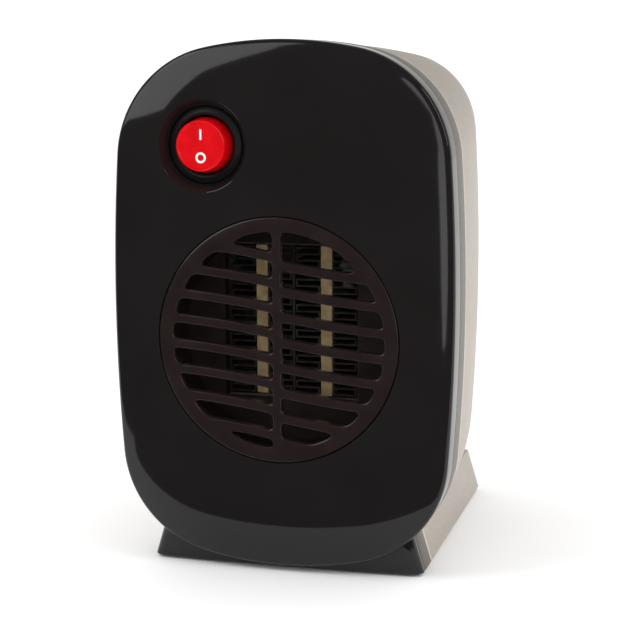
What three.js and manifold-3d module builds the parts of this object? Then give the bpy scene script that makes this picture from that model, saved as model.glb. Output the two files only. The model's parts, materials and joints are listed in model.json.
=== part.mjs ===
// Personal ceramic space heater: a two-part moulded housing on a flared foot, with a round outlet
// grille, a round rocker switch, a PTC ceramic heating block and a motor-driven fan behind it.
// Units are millimetres. +Z is up, the front faces -Y, and the origin is on the surface that the
// heater stands on, under the middle of its box.
import * as THREE from 'three';
import { mergeVertices } from 'three/addons/utils/BufferGeometryUtils.js';
import Module from 'manifold-3d';

const wasm = await Module();
wasm.setup();

// ---------------------------------------------------------------- driving dimensions
const gap = 0.3;                  // clearance between pieces that touch
const wall = 2.2;                 // moulded wall of both housing shells

const faceY = -56.6;              // flat middle of the front face
const seamY = -44.2;              // parting line between the front shell and the rear housing
const bandLength = 11;            // straight band behind the seam
const bandStep = 0.6;             // step down from the band to the tapered housing
const rearFaceY = 52.8;           // flat rear face
const crownDepth = 3.9;           // how far the front face falls away toward its edge
const crownInset = 20;            // width of that crowned margin
const edgeRadius = 1.8;           // small round between the crowned face and the side
const edgeTurn = 70;              // degrees that the small round turns through
const rearEdge = 5;               // radius of the rear edge
const taperPower = 1.8;           // how late the rear housing draws in: 1 is a straight cone

// The outline is made of circular arcs: bowed sides, a top and a bottom arc, and four corner arcs.
const frontOutline = {
  halfWidth: 53.6, top: 163.3, bottom: 1.8, widest: 83.4,
  sideRadius: 636, topRadius: 117.5, bottomRadius: 110, topCorner: 35.3, bottomCorner: 34.5,
};
const rearOutline = {
  halfWidth: 43.6, top: 161.1, bottom: 5.9, widest: 87.5,
  sideRadius: 800, topRadius: 95, bottomRadius: 100, topCorner: 27, bottomCorner: 34,
};

const footHalfWidth = 43.8;       // at the underside
const footBottom = 0.8;           // underside above the surface, on its rubber pads
const footTop = 14.8;
const footSlope = 0.3;            // how far the sides lean in for each millimetre of height
const footFrontY = -48.5;         // front corners of the foot
const footRearY = 57.8;
const footBulge = 1.5;            // bow of the foot's front edge
const footCorner = 3;             // radius of the front corners
const padRadius = 4;
const padSeat = 1.2;              // depth of each pad's pocket
const padX = 35.5;
const padFrontY = -34;
const padRearY = 50;

const grilleZ = 73.4;             // height of the outlet's centre
const grilleRadius = 37.5;
const grilleRim = 4.3;            // plain rim of the grille around its slats
const grilleOpening = grilleRadius - grilleRim;
const grilleDepth = 3;
const slatPitch = 7.78;
const slatHeight = 2.8;
const slatCount = 8;
const slatLift = 0.85;            // middle slat above the outlet's centre
const slatSkew = 1;               // drop of a slat from either side to the centre bar
const slatRise = 0.19;            // slope of a slat beside the bar
const slatBend = 0.002;           // how fast that slope fades toward the rim
const barWidth = 2.6;
const barX = -0.15;
const skirtInset = 2.1;           // skirt behind the grille, inside its edge
const skirtRadius = grilleRadius - skirtInset;
const skirtWall = 1.5;
const skirtDepth = 5;
const seatRim = 2.5;              // rim of the shell that the grille sits in
const seatFloor = 1.8;            // its floor behind the grille

const switchX = -23.1;
const switchZ = 131.8;
const rockerRadius = 8.3;
const rockerTaper = 0.7;          // how much smaller the rocker's face is than its body
const rockerClearance = 0.65;     // rocker to the well that it tilts in
const barrelWall = 0.85;
const bezelRim = 1.75;            // rim of the bezel outside its barrel
const recessMargin = 2.15;        // mouth of the sunk recess outside the bezel
const recessDepth = 4;            // of its sloping side
const bezelSeat = 1.6;            // straight seat below that slope
const bezelThick = 1.9;
const switchFloor = 1.8;          // floor of the recess, which the bezel rests on
const rockerFaceRadius = rockerRadius - rockerTaper;
const wellRadius = rockerRadius + rockerClearance;
const barrelRadius = wellRadius + barrelWall;
const bezelRadius = barrelRadius + bezelRim;
const recessRadius = bezelRadius + recessMargin;
const barrelDepth = 15;
const switchTabLength = 8;
const rockerProud = 1.2;           // rocker face in front of the front face
const rockerHalfDepth = 6.4;      // from the pivot to the rocker's face
const pivotRadius = 1.2;

const ductStep = 0.1;             // bore of the front air duct outside that of the grille's skirt
const ductInner = skirtRadius - skirtWall + ductStep;
const ductWall = 1.8;
const blockFrontY = -37.6;        // front of the heating block
const blockDepth = 11;
const blockHeight = 47;
const blockZ = 76.7;              // centre of the heating block
const ceramicWidth = 3.6;
const plateWidth = 0.8;
const finWidth = 7.6;
const finPitch = 2;
const finStrip = 0.5;
const holderHeight = 5;           // insulating bars above and below the block
const tabReach = 5;               // plates' tabs below the lower bar
const frameLip = 2.4;             // flange of the heater frame, in front of the heating block
const frameRim = 2;               // rim around the heating block
const spacerRadius = 4;
const frameMargin = 10.5;         // round flange of the heater frame outside the duct's bore
const frameRadius = ductInner + frameMargin;

const fanZ = grilleZ;
const fanRadius = 28.5;
const fanBlades = 7;
const bladeDepth = 11;
const bladeThick = 1.3;
const hubRadius = 9;
const fanClearance = 2;           // blade tips to the shroud
const shroudInner = fanRadius + fanClearance;
const shroudWall = 1.6;
const fanFrontY = -19.2;
const shaftRadius = 1.5;

const coreSize = 38;              // square side of the motor's laminated core
const coreDepth = 12;
const coreFrontY = 4.8;
const rotorRadius = 8.9;
const rotorGap = 0.6;             // air gap between the rotor and the core's bore
const coreLeg = 5;                // sides of the core's square frame
const coilHalfWidth = 7;          // of the leg that the winding goes round
const coilOverhang = 5;           // winding beyond the core, front and rear
const coreDrop = 6;               // core's extra height below the rotor
const bracketThick = 1.6;
const motorPostGap = 2.4;         // motor posts outside the shroud
const motorPostX = shroudInner + shroudWall + motorPostGap;
const coreBoltX = 15.5;           // bolts through the motor's core and brackets
const motorPostRadius = 3;

const postLow = [33, 33.5];        // x and z of the screw posts that join the two shells
const postHigh = [35, 113.5];
const postRadius = 4;
const postJointY = -34;           // where the front and rear posts meet
const postFloor = 3;              // floor under each housing screw's head
const bossRadius = 3;
const screwRadius = 1.4;
const pilotRadius = 1.8;          // bored hole that takes a screw's thread
const screwHeadRadius = 2.6;
const screwHeadHeight = 2;
const housingScrewLength = 12;
const frameScrewLength = 21;
const motorScrewLength = 9;

const intakeRadius = 31;
const intakePitch = 6.4;
const intakeSlot = 3.4;
const intakeCount = 9;
const intakeBar = 4;

const glandX = 20;
const glandZ = 27;
const glandRadius = 5.2;
const glandBore = 2.6;
const glandFlange = 7;
const wireRadius = 1.1;
const wireGap = 0.8;              // from a wire's end to its terminal

// ---------------------------------------------------------------- finishes
function finish(color, roughness, metalness) {
  return { color, roughness, metalness };
}
const glossBlack = finish(0x1e1c1b, 0.12, 0);
const satinBlack = finish(0x17181a, 0.4, 0);
const darkBrown = finish(0x221817, 0.38, 0);
const champagneSilver = finish(0xc4bdb5, 0.42, 0.75);
const signalRed = finish(0xcf0c1a, 0.25, 0);
const brownPhenolic = finish(0x3a2620, 0.6, 0);
const ceramicTan = finish(0xb79c72, 0.8, 0);
const bareAluminium = finish(0xb9bbbd, 0.4, 0.9);
const brightSteel = finish(0xa9abad, 0.35, 0.95);
const brassTab = finish(0xb8954a, 0.35, 0.9);
const copperEnamel = finish(0x9a4f22, 0.35, 0.6);
const laminatedIron = finish(0x4a4b4e, 0.5, 0.8);
const fanPlastic = finish(0x2b2c2e, 0.5, 0);
const blackRubber = finish(0x151515, 0.9, 0);
const whiteInsulator = finish(0xe6e3da, 0.6, 0);
const brownWire = finish(0x5a3220, 0.5, 0);
const blueWire = finish(0x22427a, 0.5, 0);

// ---------------------------------------------------------------- geometry helpers
const degree = Math.PI / 180;
const heater = new THREE.Group();

// A closed three.js geometry becomes a solid that can be joined and cut.
function solid(geometry) {
  geometry.deleteAttribute('normal');
  geometry.deleteAttribute('uv');
  const merged = mergeVertices(geometry, 1e-4);
  const vertProperties = new Float32Array(merged.attributes.position.array);
  const triVerts = new Uint32Array(merged.index.array);
  return new wasm.Manifold(new wasm.Mesh({ numProp: 3, vertProperties, triVerts }));
}

function join(first, ...others) {
  return others.reduce((body, other) => body.add(other), first);
}

function cut(first, ...others) {
  return others.reduce((body, other) => body.subtract(other), first);
}

function place(name, body, look, x = 0, y = 0, z = 0) {
  const { vertProperties, triVerts } = body.getMesh();
  const geometry = new THREE.BufferGeometry();
  geometry.setAttribute('position', new THREE.BufferAttribute(vertProperties, 3));
  geometry.setIndex(new THREE.BufferAttribute(triVerts, 1));
  geometry.computeVertexNormals();
  const mesh = new THREE.Mesh(geometry, new THREE.MeshStandardMaterial(look));
  mesh.name = name;
  mesh.position.set(x, y, z);
  heater.add(mesh);
  return mesh;
}

// Stacked rings of equal point counts, closed by a flat cap at each end. Points run
// counter-clockwise in x and y, and each ring has its height in z.
function loft(rings) {
  const count = rings[0].points.length;
  const positions = [];
  for (const ring of rings) {
    for (const point of ring.points) positions.push(point.x, point.y, ring.height);
  }
  const index = [];
  for (let level = 0; level < rings.length - 1; level++) {
    for (let i = 0; i < count; i++) {
      const a = level * count + i;
      const b = level * count + (i + 1) % count;
      index.push(a, b, b + count, a, b + count, a + count);
    }
  }
  const last = (rings.length - 1) * count;
  for (const [a, b, c] of THREE.ShapeUtils.triangulateShape(rings[0].points, [])) {
    index.push(c, b, a);
  }
  for (const [a, b, c] of THREE.ShapeUtils.triangulateShape(rings.at(-1).points, [])) {
    index.push(last + a, last + b, last + c);
  }
  const geometry = new THREE.BufferGeometry();
  geometry.setAttribute('position', new THREE.Float32BufferAttribute(positions, 3));
  geometry.setIndex(index);
  return geometry;
}

// The same, with rings drawn in x and z and stacked from the rear to the front.
function loftAlongY(rings) {
  const turned = rings.map(({ y, points }) => ({ height: -y, points }));
  return solid(loft(turned).rotateX(90 * degree));
}

// A shape drawn in x and z, as seen from the front, given a thickness in y.
function slab(shape, frontY, backY, curveSegments = 8) {
  const depth = backY - frontY;
  const options = { depth, bevelEnabled: false, curveSegments };
  return solid(new THREE.ExtrudeGeometry(shape, options).rotateX(90 * degree).translate(0, backY, 0));
}

// A block between two corners.
function block(low, high) {
  const size = high.map((value, axis) => value - low[axis]);
  const middle = high.map((value, axis) => (value + low[axis]) / 2);
  return solid(new THREE.BoxGeometry(...size).translate(...middle));
}

// A round bar along y.
function rod(x, z, radius, frontY, backY, sides = 16) {
  const length = backY - frontY;
  const bar = new THREE.CylinderGeometry(radius, radius, length, sides);
  return solid(bar.translate(x, (frontY + backY) / 2, z));
}

// A round bar along x.
function rodAlongX(lowX, highX, y, z, radius, sides = 12) {
  const bar = new THREE.CylinderGeometry(radius, radius, highX - lowX, sides);
  return solid(bar.rotateZ(90 * degree).translate((lowX + highX) / 2, y, z));
}

// An upright round bar on the z axis.
function uprightRod(radius, low, high, sides = 12) {
  const bar = new THREE.CylinderGeometry(radius, radius, high - low, sides);
  return solid(bar.rotateX(90 * degree).translate(0, 0, (low + high) / 2));
}

// A body turned about a line along y. The profile lists [radius, y] from the front to the rear and
// closes on the axis or on itself.
function turned(profile, x, z, sides = 32) {
  const points = profile.map(([radius, y]) => new THREE.Vector2(radius, y));
  return solid(new THREE.LatheGeometry(points, sides).translate(x, 0, z));
}

// A tube of round section along y.
function tube(x, z, outer, inner, frontY, backY, sides = 32) {
  const profile = [[inner, frontY], [outer, frontY], [outer, backY], [inner, backY], [inner, frontY]];
  return turned(profile, x, z, sides);
}

function rectangle(lowX, lowZ, highX, highZ) {
  const shape = new THREE.Shape();
  shape.moveTo(lowX, lowZ);
  shape.lineTo(highX, lowZ);
  shape.lineTo(highX, highZ);
  shape.lineTo(lowX, highZ);
  shape.closePath();
  return shape;
}

// A rectangle with round corners.
function roundedRectangle(lowX, lowZ, highX, highZ, radius) {
  const shape = new THREE.Shape();
  shape.absarc(highX - radius, lowZ + radius, radius, -90 * degree, 0, false);
  shape.absarc(highX - radius, highZ - radius, radius, 0, 90 * degree, false);
  shape.absarc(lowX + radius, highZ - radius, radius, 90 * degree, 180 * degree, false);
  shape.absarc(lowX + radius, lowZ + radius, radius, 180 * degree, 270 * degree, false);
  return shape;
}

// A wire along points chosen by hand.
function wire(points, radius) {
  const path = new THREE.CatmullRomCurve3(points.map((point) => new THREE.Vector3(...point)));
  const section = new THREE.Shape();
  section.absarc(0, 0, radius, 0, 360 * degree, false);
  const steps = points.length * 3;
  return solid(new THREE.ExtrudeGeometry(section, { steps, extrudePath: path, curveSegments: 3 }));
}

// ---------------------------------------------------------------- housing outline
// The centre, on the +x side, of a circle that touches two larger circles from the inside.
function cornerCentre(first, firstRadius, second, secondRadius, radius) {
  const between = second.clone().sub(first);
  const distance = between.length();
  const fromFirst = firstRadius - radius;
  const fromSecond = secondRadius - radius;
  const along = (distance ** 2 + fromFirst ** 2 - fromSecond ** 2) / (2 * distance);
  const across = Math.sqrt(fromFirst ** 2 - along ** 2);
  between.normalize();
  const normal = new THREE.Vector2(-between.y, between.x).multiplyScalar(across);
  const foot = first.clone().addScaledVector(between, along);
  const choices = [foot.clone().add(normal), foot.clone().sub(normal)];
  return choices[0].x > choices[1].x ? choices[0] : choices[1];
}

// Points of the outline, counter-clockwise from the bottom, moved in by an even inset.
function outlinePoints(outline, inset) {
  const side = new THREE.Vector2(outline.halfWidth - outline.sideRadius, outline.widest);
  const top = new THREE.Vector2(0, outline.top - outline.topRadius);
  const bottom = new THREE.Vector2(0, outline.bottom + outline.bottomRadius);
  const { sideRadius, topRadius, bottomRadius, topCorner, bottomCorner } = outline;
  const high = cornerCentre(side, sideRadius, top, topRadius, topCorner);
  const low = cornerCentre(side, sideRadius, bottom, bottomRadius, bottomCorner);
  const bottomTurn = low.clone().sub(bottom).angle() - 360 * degree;
  const lowTurn = low.clone().sub(side).angle() - 360 * degree;
  const highTurn = high.clone().sub(side).angle();
  const topTurn = high.clone().sub(top).angle();
  const arcs = [
    { centre: bottom, radius: bottomRadius, from: -90 * degree, to: bottomTurn, steps: 2 },
    { centre: low, radius: bottomCorner, from: bottomTurn, to: lowTurn, steps: 5 },
    { centre: side, radius: sideRadius, from: lowTurn, to: highTurn, steps: 2 },
    { centre: high, radius: topCorner, from: highTurn, to: topTurn, steps: 5 },
    { centre: top, radius: topRadius, from: topTurn, to: 90 * degree, steps: 2 },
  ];
  const right = [];
  for (const { centre, radius, from, to, steps } of arcs) {
    for (let step = 0; step < steps; step++) {
      const turn = from + (to - from) * step / steps;
      right.push(new THREE.Vector2(Math.cos(turn), Math.sin(turn)).multiplyScalar(radius - inset).add(centre));
    }
  }
  right.push(new THREE.Vector2(0, outline.top - inset));
  const left = right.slice(1, -1).reverse().map((point) => new THREE.Vector2(-point.x, point.y));
  return [...right, ...left];
}

// Position of the crowned front face at some inset from the outline.
function crownY(inset) {
  const share = Math.max(crownInset - inset, 0) / crownInset;
  return faceY + crownDepth * share ** 2;
}
const edgeReach = edgeRadius * (1 - Math.cos(edgeTurn * degree));
const edgeY = crownY(edgeReach) + edgeRadius * Math.sin(edgeTurn * degree);

// Rings of the front shell's outside, from the seam to the face.
function frontOutside() {
  const levels = [[seamY, 0]];
  for (const turn of [0, edgeTurn / 2, edgeTurn]) {
    const inset = edgeRadius * (1 - Math.cos(turn * degree));
    levels.push([edgeY - edgeRadius * Math.sin(turn * degree), inset]);
  }
  for (const inset of [7, 13, crownInset]) levels.push([crownY(inset), inset]);
  return levels.map(([y, inset]) => ({ y, points: outlinePoints(frontOutline, inset) }));
}

// Rings of its hollow, which follows the outside at the wall's thickness.
function frontInside(rearY) {
  const levels = [[rearY, wall]];
  for (const inset of [wall, 9, crownInset]) levels.push([crownY(inset) + wall, inset]);
  return levels.map(([y, inset]) => ({ y, points: outlinePoints(frontOutline, inset) }));
}

// Rings of the rear housing's surface, from the rear face to the seam, at a depth below the outside.
function rearRings(depth, frontY) {
  const rings = [];
  const rollStartY = rearFaceY - rearEdge;
  const bandEndY = seamY + bandLength;
  for (const turn of [90, 45]) {
    const inset = rearEdge - (rearEdge - depth) * Math.cos(turn * degree);
    const y = rollStartY + (rearEdge - depth) * Math.sin(turn * degree);
    rings.push({ y, points: outlinePoints(rearOutline, inset) });
  }
  const taperSteps = 4;
  const atBand = outlinePoints(frontOutline, depth + bandStep);
  const atRear = outlinePoints(rearOutline, depth);
  for (let step = taperSteps; step >= 0; step--) {
    const share = (step / taperSteps) ** taperPower;
    const y = bandEndY + (rollStartY - bandEndY) * step / taperSteps;
    rings.push({ y, points: atBand.map((point, i) => point.clone().lerp(atRear[i], share)) });
  }
  rings.push({ y: bandEndY - bandStep / 2, points: outlinePoints(frontOutline, depth) });
  rings.push({ y: frontY, points: outlinePoints(frontOutline, depth) });
  return rings;
}

// Plan of the foot at some height, moved in by a depth, between two positions in y.
function footPlan(height, depth, frontY, rearY, round) {
  const halfWidth = footHalfWidth - footSlope * (height - footBottom) - depth;
  if (!round) {
    const corners = [[-halfWidth, frontY], [halfWidth, frontY], [halfWidth, rearY], [-halfWidth, rearY]];
    return corners.map(([x, y]) => new THREE.Vector2(x, y));
  }
  const radius = footCorner - depth / 2;
  const right = [];
  const flat = halfWidth - radius;
  for (const share of [0, 0.25, 0.5, 0.75]) {
    right.push(new THREE.Vector2(flat * share, frontY - footBulge * (1 - share ** 2)));
  }
  for (const turn of [-90, -60, -30, 0]) {
    const x = flat + radius * Math.cos(turn * degree);
    right.push(new THREE.Vector2(x, frontY + radius + radius * Math.sin(turn * degree)));
  }
  const left = right.slice(1).reverse().map((point) => new THREE.Vector2(-point.x, point.y));
  return [...left, ...right, new THREE.Vector2(halfWidth, rearY), new THREE.Vector2(-halfWidth, rearY)];
}

function footSlab(depth, frontY, rearY, round) {
  const low = footBottom + depth;
  const high = footTop - depth;
  return solid(loft([
    { height: low, points: footPlan(low, depth, frontY, rearY, round) },
    { height: high, points: footPlan(high, depth, frontY, rearY, round) },
  ]));
}

// ---------------------------------------------------------------- housing pieces
// Screw posts of the housing, and screw bosses around the outlet.
const postPlaces = [
  [-postLow[0], postLow[1], 'low_left'],
  [postLow[0], postLow[1], 'low_right'],
  [-postHigh[0], postHigh[1], 'high_left'],
  [postHigh[0], postHigh[1], 'high_right'],
];
const framePlaces = [45, 135, 225, 315].map((turn) => [
  (frameRadius - bossRadius) * Math.cos(turn * degree),
  grilleZ + (frameRadius - bossRadius) * Math.sin(turn * degree),
]);
const frameBackY = blockFrontY - gap;          // rear of the heater frame's flange
const frameFrontY = frameBackY - frameLip;
const frameSeatY = frameFrontY - gap;          // rear ends of the bosses that carry the frame

function makeFrontShell() {
  const past = 1;
  const outside = join(
    loftAlongY(frontOutside()),
    footSlab(0, footFrontY, seamY, true),
  );
  const inside = join(
    loftAlongY(frontInside(seamY + past)),
    footSlab(wall, footFrontY + wall, seamY + past, true),
  );
  const lipInset = wall + gap;
  const lipWall = 1.2;
  const lip = cut(
    loftAlongY([
      { y: seamY + 2.5, points: outlinePoints(frontOutline, lipInset) },
      { y: seamY - 2, points: outlinePoints(frontOutline, lipInset) },
      { y: seamY - 4, points: outlinePoints(frontOutline, wall - gap) },
    ]),
    loftAlongY([
      { y: seamY + 3, points: outlinePoints(frontOutline, lipInset + lipWall) },
      { y: seamY - 5, points: outlinePoints(frontOutline, lipInset + lipWall) },
    ]),
    block([-footHalfWidth, seamY - 5, 0], [footHalfWidth, seamY + 3, footTop + 1]),
  );
  const innerFaceY = faceY + wall;
  const seatBackY = faceY + grilleDepth + gap;
  const seat = turned([
    [grilleRadius + gap, innerFaceY - 1],
    [grilleRadius + gap + seatRim, innerFaceY - 1],
    [grilleRadius + gap + seatRim, seatBackY + seatFloor],
    [skirtRadius + gap, seatBackY + seatFloor],
    [skirtRadius + gap, seatBackY],
    [grilleRadius + gap, seatBackY],
    [grilleRadius + gap, innerFaceY - 1],
  ], 0, grilleZ, 36);
  const posts = postPlaces.map(([x, z]) => rod(x, z, postRadius, innerFaceY - 0.5, postJointY, 12));
  const bosses = framePlaces.map(([x, z]) => rod(x, z, bossRadius, innerFaceY - 0.5, frameSeatY, 10));
  const recessFloorY = faceY + recessDepth + bezelSeat;
  const switchBossBackY = recessFloorY + switchFloor;
  const switchBoss = rod(switchX, switchZ, recessRadius + 1.2, innerFaceY - 1, switchBossBackY, 20);
  const pilots = [...postPlaces, ...framePlaces].map(([x, z]) => (
    rod(x, z, pilotRadius, innerFaceY + 2, postJointY + 1, 8)
  ));
  const recess = turned([
    [0, faceY - 1],
    [recessRadius + 1, faceY - 1],
    [recessRadius, faceY],
    [bezelRadius + gap, faceY + recessDepth],
    [bezelRadius + gap, recessFloorY],
    [0, recessFloorY],
  ], switchX, switchZ, 24);
  return cut(
    join(cut(outside, inside), lip, seat, ...posts, ...bosses, switchBoss),
    rod(0, grilleZ, grilleRadius + gap, faceY - 1, innerFaceY + 0.5, 36),
    recess,
    rod(switchX, switchZ, barrelRadius + gap, faceY, switchBossBackY + 1, 20),
    ...pilots,
  );
}

// Half-width of the intake at some height above or below its centre.
function chord(radius, offset) {
  return Math.sqrt(Math.max(radius ** 2 - offset ** 2, 0));
}

function makeIntakeSlots() {
  const slots = [];
  for (let row = 0; row < intakeCount; row++) {
    const offset = (row - (intakeCount - 1) / 2) * intakePitch;
    const reach = chord(intakeRadius, offset);
    for (const side of [-1, 1]) {
      const near = side * intakeBar / 2;
      const far = side * reach;
      const low = Math.min(near, far);
      const high = Math.max(near, far);
      const z = grilleZ + offset;
      const shape = roundedRectangle(low, z - intakeSlot / 2, high, z + intakeSlot / 2, intakeSlot / 2 - 0.05);
      slots.push(slab(shape, rearFaceY - wall - 2, rearFaceY + 1, 1));
    }
  }
  return slots;
}

function makeRearHousing() {
  const past = 1;
  const frontY = seamY + gap;
  const outside = join(
    loftAlongY(rearRings(0, frontY)),
    footSlab(0, frontY, footRearY, false),
  );
  const inside = join(
    loftAlongY(rearRings(wall, frontY - past)),
    footSlab(wall, frontY - past, footRearY - wall, false),
  );
  const postFrontY = postJointY + gap;
  const floorY = postFrontY + postFloor;
  const posts = postPlaces.map(([x, z]) => rod(x, z, postRadius, postFrontY, rearFaceY - 1.5, 12));
  const holes = postPlaces.flatMap(([x, z]) => [
    rod(x, z, screwRadius + gap, postFrontY - 1, floorY + 1, 6),
    rod(x, z, screwHeadRadius + gap, floorY, rearFaceY + 1, 10),
  ]);
  const glandSeat = rod(glandX, glandZ, glandFlange + 1.5, rearFaceY - wall - 1.5, rearFaceY - wall + 1, 16);
  const padPockets = padPlaces.map(([x, y]) => (
    uprightRod(padRadius + gap, footBottom - past, footBottom + padSeat + gap).translate(x, y, 0)
  ));
  const padFloors = padPlaces.map(([x, y]) => (
    uprightRod(padRadius + gap + wall / 2, footBottom + past, footBottom + padSeat + wall).translate(x, y, 0)
  ));
  return cut(
    join(cut(outside, inside), ...posts, glandSeat, ...padFloors),
    ...holes,
    ...makeIntakeSlots(),
    rod(glandX, glandZ, glandRadius + gap, rearFaceY - wall - 3, rearFaceY + 1, 16),
    ...padPockets,
  );
}

// ---------------------------------------------------------------- rubber pads
const padPlaces = [
  [-padX, padFrontY, 'front_left'],
  [padX, padFrontY, 'front_right'],
  [-padX, padRearY, 'rear_left'],
  [padX, padRearY, 'rear_right'],
];

// ---------------------------------------------------------------- outlet grille
// Height of a slat's centreline at x: it falls across the grille in a flattened S.
function slatLine(x, middle) {
  const reach = Math.abs(x - barX);
  const side = x < barX ? 1 : -1;
  return middle + side * (slatSkew + slatRise * reach - slatBend * reach ** 2);
}

function slatShape(middle, side) {
  const steps = 3;
  const upper = [];
  const lower = [];
  for (let step = 0; step <= steps; step++) {
    const x = barX + side * (barWidth / 4 + (grilleOpening + 1 - barWidth / 4) * step / steps);
    const z = slatLine(x, middle);
    upper.push(new THREE.Vector2(x, z + slatHeight / 2));
    lower.push(new THREE.Vector2(x, z - slatHeight / 2));
  }
  return new THREE.Shape([...lower, ...upper.reverse()]);
}

function makeOutletGrille() {
  const backY = faceY + grilleDepth;
  const rim = turned([
    [grilleOpening, faceY + 0.5],
    [grilleOpening + 0.5, faceY],
    [grilleRadius - 0.4, faceY],
    [grilleRadius, faceY + 0.4],
    [grilleRadius, backY],
    [skirtRadius, backY],
    [skirtRadius, backY + skirtDepth],
    [skirtRadius - skirtWall, backY + skirtDepth],
    [skirtRadius - skirtWall, backY],
    [grilleOpening, backY],
    [grilleOpening, faceY + 0.5],
  ], 0, grilleZ, 36);
  const opening = rod(0, grilleZ, grilleOpening + 0.6, faceY - 1, backY + 1, 36);
  const bar = slab(
    rectangle(barX - barWidth / 2, grilleZ - grilleRadius, barX + barWidth / 2, grilleZ + grilleRadius),
    faceY + 0.2, backY,
  );
  const slats = [];
  for (let index = 0; index < slatCount; index++) {
    const middle = grilleZ + slatLift + (index - slatCount / 2) * slatPitch;
    for (const side of [-1, 1]) slats.push(slab(slatShape(middle, side), faceY + 0.2, backY));
  }
  return join(rim, join(bar, ...slats).intersect(opening));
}

// ---------------------------------------------------------------- rocker switch
const bezelBackY = faceY + recessDepth + bezelSeat - gap;
const bezelFrontY = bezelBackY - bezelThick;
const barrelBackY = bezelBackY + barrelDepth;
const rockerFaceY = faceY - rockerProud;
const pivotY = rockerFaceY + rockerHalfDepth;
const wellBackY = pivotY + 5.2;

function makeSwitchBezel() {
  const body = turned([
    [0, wellBackY],
    [wellRadius, wellBackY],
    [wellRadius, bezelFrontY + 0.3],
    [wellRadius + 0.3, bezelFrontY],
    [bezelRadius - 0.5, bezelFrontY],
    [bezelRadius, bezelFrontY + 0.5],
    [bezelRadius, bezelBackY],
    [barrelRadius, bezelBackY],
    [barrelRadius, barrelBackY],
    [0, barrelBackY],
  ], switchX, switchZ, 24);
  return cut(
    body,
    rodAlongX(switchX - wellRadius - 0.6, switchX + wellRadius + 0.6, pivotY, switchZ, pivotRadius + gap),
  );
}

// The rocker is drawn about its pivot, so that it can be set down at the switch's centre.
function makeRocker() {
  const body = turned([
    [0, -rockerHalfDepth + 0.5],
    [rockerFaceRadius - 0.9, -rockerHalfDepth + 0.5],
    [rockerFaceRadius - 0.6, -rockerHalfDepth],
    [rockerFaceRadius, -rockerHalfDepth],
    [rockerRadius, -1.5],
    [rockerRadius, 0.5],
    [6.4, 3.4],
    [0, 3.4],
  ], 0, 0, 24);
  return join(body, rodAlongX(-wellRadius - 0.3, wellRadius + 0.3, 0, 0, pivotRadius));
}

function makeSwitchTab() {
  return cut(
    block([-2.4, 0, -0.4], [2.4, switchTabLength, 0.4]),
    uprightRod(0.9, -1, 1).translate(0, 5.4, 0),
  );
}

// ---------------------------------------------------------------- heating block
const blockLowZ = blockZ - blockHeight / 2;
const blockHighZ = blockZ + blockHeight / 2;
const blockBackY = blockFrontY + blockDepth;

// Layers from the left: plate, fins, ceramic, fins, plate, fins, ceramic, fins, plate.
const layers = [
  ['contact_plate_left', plateWidth],
  ['fin_bank_1', finWidth],
  ['ceramic_left', ceramicWidth],
  ['fin_bank_2', finWidth],
  ['contact_plate_centre', plateWidth],
  ['fin_bank_3', finWidth],
  ['ceramic_right', ceramicWidth],
  ['fin_bank_4', finWidth],
  ['contact_plate_right', plateWidth],
];
const blockWidth = layers.reduce((total, [, width]) => total + width + gap, -gap);

// A strip folded back and forth between two plates as it climbs, with square folds.
function makeFins(width) {
  const folds = Math.floor(blockHeight / finPitch);
  const skin = finStrip / 2;
  const half = width / 2 - skin;
  const level = (fold) => (fold - folds / 2) * finPitch;
  const right = [new THREE.Vector2(-half - skin, level(0) - skin)];
  const left = [new THREE.Vector2(-half - skin, level(0) + skin)];
  for (let fold = 0; fold < folds; fold++) {
    const side = fold % 2 === 0 ? 1 : -1;
    right.push(new THREE.Vector2(side * half + skin, level(fold) - side * skin));
    right.push(new THREE.Vector2(side * half + skin, level(fold + 1) + side * skin));
    left.push(new THREE.Vector2(side * half - skin, level(fold) + side * skin));
    left.push(new THREE.Vector2(side * half - skin, level(fold + 1) - side * skin));
  }
  const end = folds % 2 === 0 ? 1 : -1;
  right.push(new THREE.Vector2(end * (half + skin), level(folds) - end * skin));
  left.push(new THREE.Vector2(end * (half + skin), level(folds) + end * skin));
  return slab(new THREE.Shape([...right, ...left.reverse()]), 0, blockDepth);
}

function makeContactPlate() {
  const half = plateWidth / 2;
  const plateLow = -blockHeight / 2;
  const plate = block([-half, 0, plateLow], [half, blockDepth, -plateLow]);
  const tabFront = tabFrontY - blockFrontY;
  const tabBack = tabBackY - blockFrontY;
  const tab = block([-half, tabFront, plateLow - holderHeight - tabReach], [half, tabBack, plateLow + 1]);
  return join(plate, tab);
}

function addHeatingBlock() {
  let x = -blockWidth / 2;
  for (const [name, width] of layers) {
    const centre = x + width / 2;
    x += width + gap;
    if (name.startsWith('fin')) {
      place(name, makeFins(width), bareAluminium, centre, blockFrontY, blockZ);
    } else if (name.startsWith('ceramic')) {
      const low = [-width / 2, 0.5, -blockHeight / 2];
      const high = [width / 2, blockDepth - 0.5, blockHeight / 2];
      place(name, block(low, high), ceramicTan, centre, blockFrontY, blockZ);
    } else {
      place(name, makeContactPlate(), bareAluminium, centre, blockFrontY, blockZ);
    }
  }
}

// Where the plates' tabs go down, and the slot that each tab needs in what it passes through.
const tabFrontY = blockFrontY + 3;
const tabBackY = tabFrontY + 5;
const tabPlaces = [-1, 0, 1].map((side) => side * (blockWidth - plateWidth) / 2);

function tabSlot(x, lowZ, highZ) {
  const reach = plateWidth / 2 + gap;
  return block([x - reach, tabFrontY - gap, lowZ], [x + reach, tabBackY + gap, highZ]);
}

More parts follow.
